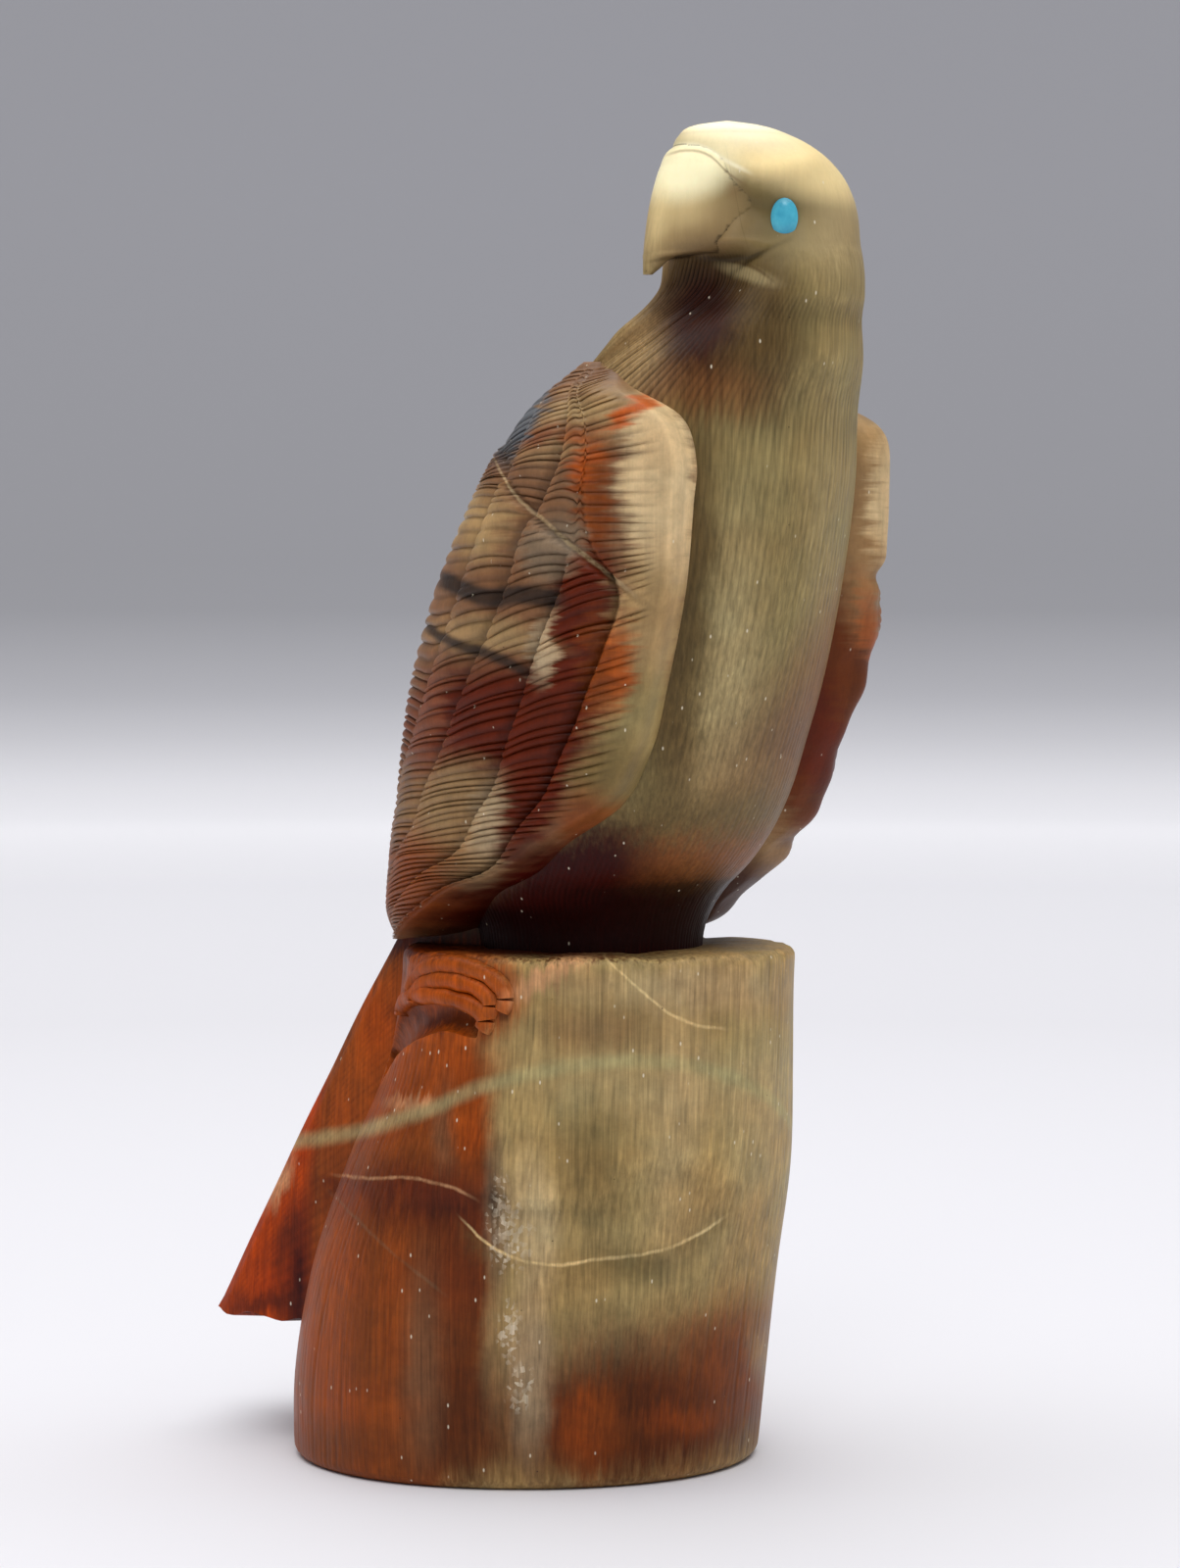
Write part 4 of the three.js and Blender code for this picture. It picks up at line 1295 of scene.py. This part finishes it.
# Patches: tone, place and half size in the photograph, turn in degrees, softness, strength
stumpStone = stoneMaterial(
    "bandedStumpStone",
    {
        "base": "stumpOlive",
        "ripple": 34.0,
        "fibre": (2.6, 2.6, 0.05),
        "fray": (3.0, 44.0, 0.0),
        "farFrom": 3.4,
        "grain": 1.0,
        "cloud": 1.05,
        "hollow": -0.09,
        "ridge": 0.09,
        "lighten": 1.25,
        "darken": 0.5,
        "brokenBelow": 4.0,
        "grit": [
            (520, 1262, 20, 30, -6, 0.6, 0.75),
            (512, 1218, 8, 26, 0, 0.6, 0.6),
            (522, 1362, 12, 30, 0, 0.6, 0.85),
            (532, 1420, 12, 26, 20, 0.6, 0.7),
        ],
    },
    [
        ("paleOlive", 690, 1110, 130, 34, 4, 0.7, 0.5),
        ("sand", 740, 1005, 90, 34, -4, 0.6, 0.85),
        ("fawn", 610, 1052, 60, 22, 0, 0.8, 0.7),
        ("oliveDark", 604, 1190, 30, 60, 0, 0.8, 0.7),
        ("oliveDark", 650, 1300, 60, 24, 0, 0.8, 0.5),
        ("lightCream", 545, 1255, 22, 70, -6, 0.7, 0.6),
        ("lightCream", 700, 1010, 120, 18, 0, 0.7, 0.35),
        ("lightCream", 690, 1150, 26, 120, 4, 0.8, 0.3),
        ("paleOlive", 775, 1150, 26, 90, 0, 0.8, 0.6),
        ("sand", 745, 1265, 40, 50, -25, 0.8, 0.5),
        ("olive", 620, 1365, 60, 40, 0, 0.7, 0.8),
        ("fawn", 650, 1415, 150, 60, -8, 0.6, 0.8),
        ("bark", 650, 1452, 160, 74, -8, 0.6, 1.0),
        ("rustBrown", 765, 1390, 70, 60, -20, 0.6, 0.85),
        ("rustBrown", 320, 1230, 186, 420, 0, 0.08, 1.0),
        ("bark", 474, 1460, 44, 60, 0, 0.5, 0.9),
        ("rust", 420, 1085, 76, 50, 0, 0.6, 0.9),
        ("rust", 370, 1135, 50, 40, 0, 0.7, 0.7),
        ("peach", 420, 1130, 22, 8, 0, 0.9, 0.6),
        ("tan", 452, 1160, 12, 44, 0, 0.8, 0.5),
        ("rustBright", 478, 1150, 18, 30, 0, 0.7, 0.5),
        ("rustBright", 382, 1045, 18, 40, 20, 0.8, 0.8),
        ("maroon", 425, 1222, 66, 34, 0, 0.7, 0.7),
        ("maroon", 470, 1290, 40, 60, 0, 0.8, 0.5),
        ("tan", 430, 1400, 22, 90, 0, 0.8, 0.6),
        ("bark", 474, 1420, 24, 90, 0, 0.8, 0.7),
        ("fawn", 506, 1385, 14, 60, 0, 0.8, 0.6),
        ("paleStone", 543, 1405, 20, 80, 0, 0.7, 0.8),
        ("greyStone", 508, 1235, 12, 60, 0, 0.8, 0.7),
        ("rust", 690, 1452, 34, 14, 0, 0.9, 0.5),
        ("rust", 600, 1462, 26, 40, 0, 0.8, 0.6),
        ("rustBright", 815, 1330, 14, 60, 6, 0.8, 0.7),
        ("sand", 785, 1392, 16, 36, -10, 0.9, 0.7),
        ("rust", 330, 1330, 30, 120, 8, 0.8, 0.7),
        ("rust", 350, 1440, 60, 20, 0, 0.8, 0.5),
        ("rust", 400, 1330, 16, 90, 4, 0.8, 0.5),
        ("charcoal", 503, 1218, 5, 26, 0, 0.9, 0.6),
        # painted shadow with a painted reddish reflection on the stump's top and rim under the belly, over
        # dark red stone
        ("deepRedShadow", 480, 956, 260, 20, 0, 0.5, 0.9),
        ("maroon", 560, 966, 110, 12, 0, 0.6, 0.9),
        ("rust", 465, 1016, 66, 46, 0, 0.3, 0.95),
        ("rustBright", 470, 1012, 40, 8, 0, 0.9, 0.5),
        ("deepRedShadow", 440, 1040, 40, 9, 6, 0.8, 0.6),
        ("peach", 560, 998, 42, 12, -26, 0.6, 0.85),
        ("sand", 590, 1004, 30, 14, -10, 0.7, 0.7),
    ],
    [
        ("maroon", rustLine, 3, 0.9, 0.6, 60),
        ("oliveDark", [(470, 1250), *foldLine], 3, 0.9, 0.4, 40),
        ("greenWhite", paleBand, 7, 0.9, 0.6),
        ("peach", [(345, 1201), (380, 1204), (415, 1204), (450, 1210), (482, 1224)], 1.6, 0.9, 0.7),
        ("cream", [(475, 1250), *foldLine], 1.6, 0.9, 0.8),
        ("tan", [(340, 1222), (400, 1280), (450, 1320)], 2.0, 0.9, 0.6),
        ("cream", [(618, 976), (650, 1008), (700, 1042), (735, 1050)], 1.6, 0.9, 0.7),
    ],
    [
        ("orange", 300, 1160, 110, 260, 20, 0.3, 1.0),
        # dark strip on the tail beside the stump: painted shadow over maroon stone
        ("deepRedShadow", 350, 1225, 32, 200, 17.5, 0.4, 1.0),
        ("maroon", 296, 1262, 14, 40, 20, 0.7, 0.8),
        ("rustBright", 376, 1030, 24, 46, 20, 0.8, 0.9),
        ("peach", 376, 1040, 7, 36, 22, 0.8, 0.7),
        ("peach", 345, 1075, 6, 22, 22, 0.8, 0.8),
        ("peach", 283, 1208, 7, 26, 22, 0.8, 0.7),
        ("maroon", 262, 1334, 40, 14, 0, 0.8, 0.85),
    ],
)

bodyStone = stoneMaterial(
    "bandedBodyStone",
    {
        "base": "olive",
        "ripple": 36.0,
        "fibre": (2.6, 2.6, 0.05),
        "fray": (3.0, 40.0, 0.0),
        "calm": 84.5,
        "grain": 0.9,
        "cloud": 0.6,
        "hollow": -0.035,
        "ridge": 0.03,
        "lighten": 1.2,
        "darken": 0.5,
        "brokenBelow": 0.0,
        "smooth": [(765, 190, 130, 95, 0, 0.4, 1.0)],
    },
    [
        # paler middle of the breast: painted highlight over pale stone
        ("paleOlive", 742, 700, 30, 140, 4, 0.8, 0.6),
        ("shade", 697, 620, 28, 220, 4, 0.7, 1.0),
        ("shade", 684, 740, 24, 120, 8, 0.8, 0.5),
        ("paleOlive", 846, 540, 20, 170, 4, 0.9, 0.3),
        ("rustBrown", 850, 740, 40, 130, 14, 0.9, 0.8),
        ("tan", 806, 770, 50, 80, 10, 0.9, 0.8),
        ("fawn", 750, 815, 50, 50, 0, 0.9, 0.6),
        ("shade", 700, 858, 150, 50, -6, 0.7, 0.8),
        ("rustBrown", 690, 886, 160, 28, -6, 0.8, 0.7),
        # underside of the belly: dark red stone darkened as painted shadow
        ("deepRedShadow", 640, 956, 300, 60, -2, 0.4, 1.0),
        ("deepRedShadow", 580, 900, 90, 44, -24, 0.5, 1.0),
        ("lightCream", 850, 215, 36, 60, -8, 0.9, 0.5),
        ("cream", 800, 152, 110, 40, 16, 0.4, 1.0),
        ("cream", 820, 178, 60, 22, 22, 0.7, 0.6),
        # crown: pale stone brightened as a painted highlight
        ("bone", 740, 130, 60, 18, 10, 0.8, 0.8),
        # painted shade in the recess behind the beak
        ("oliveDark", 788, 208, 44, 22, 6, 0.9, 0.5),
        ("fawn", 752, 202, 10, 18, -10, 0.9, 0.4),
        ("sand", 710, 238, 56, 38, -14, 0.6, 0.95),
        ("cream", 694, 208, 28, 22, -10, 0.8, 0.5),
        # top of the beak: pale stone brightened as a painted highlight
        ("ivoryHighlight", 698, 176, 48, 26, -12, 0.6, 1.0),
        ("cream", 670, 232, 10, 34, 8, 0.9, 0.5),
        ("fawn", 747, 195, 6, 7, 0, 0.8, 0.4),
        ("sand", 700, 256, 44, 14, -6, 0.8, 0.8),
        # painted shadow under the jaw below the beak
        ("umber", 768, 330, 48, 84, 0, 0.6, 0.85),
        ("mauve", 672, 352, 36, 84, 24, 0.6, 0.9),
        ("sand", 642, 366, 34, 54, 24, 0.7, 0.8),
        # painted shadow on the throat under the beak
        ("wineShadow", 716, 326, 38, 66, 6, 0.6, 1.0),
        ("rustBrown", 722, 402, 50, 24, 0, 0.9, 0.5),
        ("paleOlive", 762, 280, 26, 7, 18, 0.7, 0.6),
    ],
    [
        # painted shadow along the underside of the beak
        ("umber", [(664, 268), (690, 264), (720, 264), (746, 268), (768, 274), (786, 286)], 1.8, 0.9, 0.6),
        ("fawn", [(682, 160), (700, 156), (721, 160), (744, 180), (756, 188)], 1.4, 0.9, 0.55),
        # painted highlight along the upper edge of the cere line
        ("bone", [(694, 150), (716, 152), (740, 166), (760, 176)], 2.2, 0.9, 0.7),
        ("oliveDark", [(748, 190), (753, 214), (758, 240), (764, 258)], 1.8, 0.9, 0.5),
    ],
)

wingStoneValues = {
    "ripple": 34.0,
    "fibre": (0.14, 0.14, 1.7),
    "fray": (60.0, 8.0, 0.0),
    "grain": 0.25,
    "cloud": 0.9,
    "hollow": -0.3,
    "ridge": 0.08,
    "lighten": 1.4,
    "darken": 0.7,
    "brokenBelow": 0.0,
}
wingLine = [(508, 474), (530, 508), (560, 535), (582, 555), (610, 577), (645, 606)]
rightWingStone = stoneMaterial(
    "bandedRightWingStone",
    {"base": "tan", **wingStoneValues},
    [
        ("bark", 500, 600, 40, 400, 0, 0.9, 0.25),
        ("sand", 592, 430, 60, 26, -24, 0.6, 0.8),
        ("maroon", 590, 440, 22, 10, -30, 0.8, 0.6),
        ("lightCream", 676, 500, 42, 110, -3, 0.3, 0.95),
        ("sand", 662, 640, 42, 70, 4, 0.5, 0.95),
        ("olive", 655, 745, 44, 60, 10, 0.5, 0.95),
        ("oliveDark", 640, 812, 66, 44, 40, 0.5, 0.85),
        ("rust", 626, 680, 18, 46, 6, 0.7, 0.9),
        ("rustBright", 645, 418, 34, 9, -32, 0.7, 0.9),
        ("rustBrown", 604, 510, 18, 66, 2, 0.5, 0.95),
        ("rustBright", 592, 470, 12, 26, 0, 0.8, 0.6),
        ("mauveRed", 556, 445, 24, 13, -20, 0.7, 0.9),
        ("greyBlue", 530, 428, 17, 46, 32, 0.4, 1.0),
        ("greyStone", 562, 560, 28, 32, 20, 0.5, 0.95),
        ("sand", 490, 534, 30, 36, 20, 0.7, 0.85),
        ("maroon", 594, 620, 30, 60, 10, 0.4, 1.0),
        ("maroon", 572, 705, 36, 84, 14, 0.4, 1.0),
        ("rustBrown", 604, 690, 16, 60, 8, 0.7, 0.8),
        ("sand", 496, 648, 62, 18, 8, 0.6, 0.6),
        ("maroon", 500, 740, 92, 60, 0, 0.35, 1.0),
        ("mauveRed", 436, 735, 18, 56, 8, 0.7, 0.85),
        ("paleStone", 552, 660, 12, 34, 6, 0.5, 1.0),
        ("fawn", 462, 832, 48, 58, 12, 0.35, 1.0),
        ("paleStone", 498, 856, 20, 50, 10, 0.6, 0.8),
        ("maroon", 550, 796, 26, 92, 18, 0.45, 1.0),
        ("rustBrown", 424, 905, 36, 52, 0, 0.6, 0.95),
        ("fawn", 488, 888, 26, 16, 0, 0.7, 0.7),
        ("rustBrown", 602, 846, 34, 36, -30, 0.6, 0.8),
        ("maroon", 478, 934, 46, 24, -8, 0.8, 0.9),
        # lower end of the wing under the belly: painted shadow over dark red stone
        ("deepRedShadow", 584, 910, 126, 52, -18, 0.35, 1.0),
    ],
    [
        ("charcoal", [(446, 588), (470, 600), (500, 610), (530, 606), (575, 612)], 10, 0.5, 0.95),
        ("charcoal", [(430, 636), (465, 656), (500, 668), (540, 688)], 6, 0.7, 0.9),
        ("lightCream", wingLine, 2.4, 0.8, 0.6),
    ],
)
leftWingStone = stoneMaterial(
    "bandedLeftWingStone",
    {"base": "fawn", **wingStoneValues},
    [
        ("lightCream", 904, 505, 16, 62, 0, 0.7, 0.85),
        ("sand", 880, 440, 20, 24, 0, 0.8, 0.6),
        ("bark", 850, 756, 80, 186, -18, 0.3, 1.0),
        ("rust", 892, 650, 12, 50, -12, 0.8, 0.6),
        ("maroon", 836, 750, 26, 120, -20, 0.7, 0.9),
        # lower tip of the wing under the belly: painted shadow over dark red stone
        ("deepRedShadow", 750, 915, 50, 40, -20, 0.6, 0.9),
    ],
)


# A ramp between sRGB tones at shares from 0 to 1, given from the lowest
def toneRamp(tree, value, stops):
    ramp = addNode(tree, "ValToRGB", {0: value})
    elements = ramp.color_ramp.elements
    for element, (place, tone) in zip(elements, (stops[0], stops[-1])):
        element.position, element.color = place, linear(tone)
    for place, tone in stops[1:-1]:
        elements.new(place).color = linear(tone)
    return ramp.outputs["Color"]


turquoiseValues = {
    "cloud": (900.0, 4.0),
    "stops": [(0.3, (44, 150, 184)), (0.7, (84, 190, 212))],
    "roughness": 0.25,
}
turquoiseStone, turquoiseTree, turquoiseShader = newMaterial("turquoise")
bluePlace = addNode(turquoiseTree, "TexCoord").outputs["Object"]
blueCloud = noise(turquoiseTree, bluePlace, *turquoiseValues["cloud"])
blue = toneRamp(turquoiseTree, blueCloud, turquoiseValues["stops"])
turquoiseTree.links.new(blue, turquoiseShader.inputs["Base Color"])
turquoiseShader.inputs["Roughness"].default_value = turquoiseValues["roughness"]

finishes = {
    stump: stumpStone,
    eagle: bodyStone,
    rightWing: rightWingStone,
    leftWing: leftWingStone,
    leftEye: turquoiseStone,
    rightEye: turquoiseStone,
}
for piece, stone in finishes.items():
    piece.data.materials.clear()
    piece.data.materials.append(stone)
print("stones painted")

# Sweep: a pale floor that rises all round into a grey wall
sweepValues = {
    "flat": 0.95,
    "curve": 0.6,
    "wall": 1.6,
    "steps": 16,
    "turns": 96,
    # tones along the paper, from the middle of the floor out and up the wall, in metres
    "length": 2.0,
    "colour": [(0.98, (229, 228, 232)), (1.3, (120, 120, 124))],
    "glow": [
        (0.35, (0, 0, 0)),
        (0.7, (110, 110, 112)),
        (0.96, (160, 160, 162)),
        (1.08, (160, 160, 163)),
        (1.2, (125, 125, 129)),
        (1.35, (118, 118, 122)),
        (1.7, (122, 122, 127)),
    ],
    "glowStrength": 1.0,
    "roughness": 0.7,
}
sweepShape = bmesh.new()
flat, curve, wall = sweepValues["flat"], sweepValues["curve"], sweepValues["wall"]
profile = [(0, 0), (flat, 0)]
for step in range(1, sweepValues["steps"] + 1):
    turn = math.radians(90 * step / sweepValues["steps"])
    profile.append((flat + curve * math.sin(turn), curve * (1 - math.cos(turn))))
profile.append((flat + curve, wall))
edge = [sweepShape.verts.new((reach, 0, rise)) for reach, rise in profile]
sides = [sweepShape.edges.new(pair) for pair in zip(edge[:-1], edge[1:])]
spin = {"cent": (0, 0, 0), "axis": (0, 0, 1), "angle": 2 * math.pi, "steps": sweepValues["turns"]}
bmesh.ops.spin(sweepShape, geom=edge + sides, use_merge=True, **spin)
bmesh.ops.remove_doubles(sweepShape, verts=sweepShape.verts, dist=1e-6)
bmesh.ops.recalc_face_normals(sweepShape, faces=sweepShape.faces)
for face in sweepShape.faces:
    face.smooth = True
sweep = newPiece("sweep", sweepShape)
paper, paperTree, paperShader = newMaterial("sweepPaper")
paperPlace = addNode(paperTree, "TexCoord").outputs["Object"]
paperHeight = addNode(paperTree, "SeparateXYZ", {0: paperPlace}).outputs[2]
paperFlat = vectorPair(paperTree, "MULTIPLY", paperPlace, (1, 1, 0))
paperReach = addNode(paperTree, "VectorMath", {0: paperFlat}, operation="LENGTH").outputs["Value"]
alongPaper = calculate(paperTree, "ADD", paperHeight, paperReach)
alongPaper = calculate(paperTree, "MULTIPLY", alongPaper, 1 / sweepValues["length"])
for title, key in (("Base Color", "colour"), ("Emission Color", "glow")):
    stops = [(place / sweepValues["length"], tone) for place, tone in sweepValues[key]]
    paperTree.links.new(toneRamp(paperTree, alongPaper, stops), paperShader.inputs[title])
paperShader.inputs["Emission Strength"].default_value = sweepValues["glowStrength"]
paperShader.inputs["Roughness"].default_value = sweepValues["roughness"]
# the paper glows all round, so its light is found without sampling it as a lamp
paper.cycles.emission_sampling = "NONE"
sweep.data.materials.append(paper)

worldValues = {"Color": (0.93, 0.96, 1, 1), "Strength": 0.1}
world = bpy.data.worlds.new("world")
world.use_nodes = True
for title, value in worldValues.items():
    world.node_tree.nodes["Background"].inputs[title].default_value = value
bpy.context.scene.world = world
bpy.context.scene.view_settings.view_transform = "Standard"

# lights, all aimed at one place: place and size in metres, power in watts
lightAim = (0, 0, 0.05)
lightValues = {
    "overheadLight": ((0.0, 0.0, 0.9), 1.4, 14),
    "frontLight": ((-0.35, -0.3, 0.5), 0.2, 0.5),
}
for name, (place, size, power) in lightValues.items():
    data = bpy.data.lights.new(name, "AREA")
    data.size = size
    data.energy = power
    light = bpy.data.objects.new(name, data)
    light.location = place
    light.rotation_euler = (Vector(lightAim) - Vector(place)).to_track_quat("-Z", "Y").to_euler()
    bpy.context.scene.collection.objects.link(light)
print("stage set")
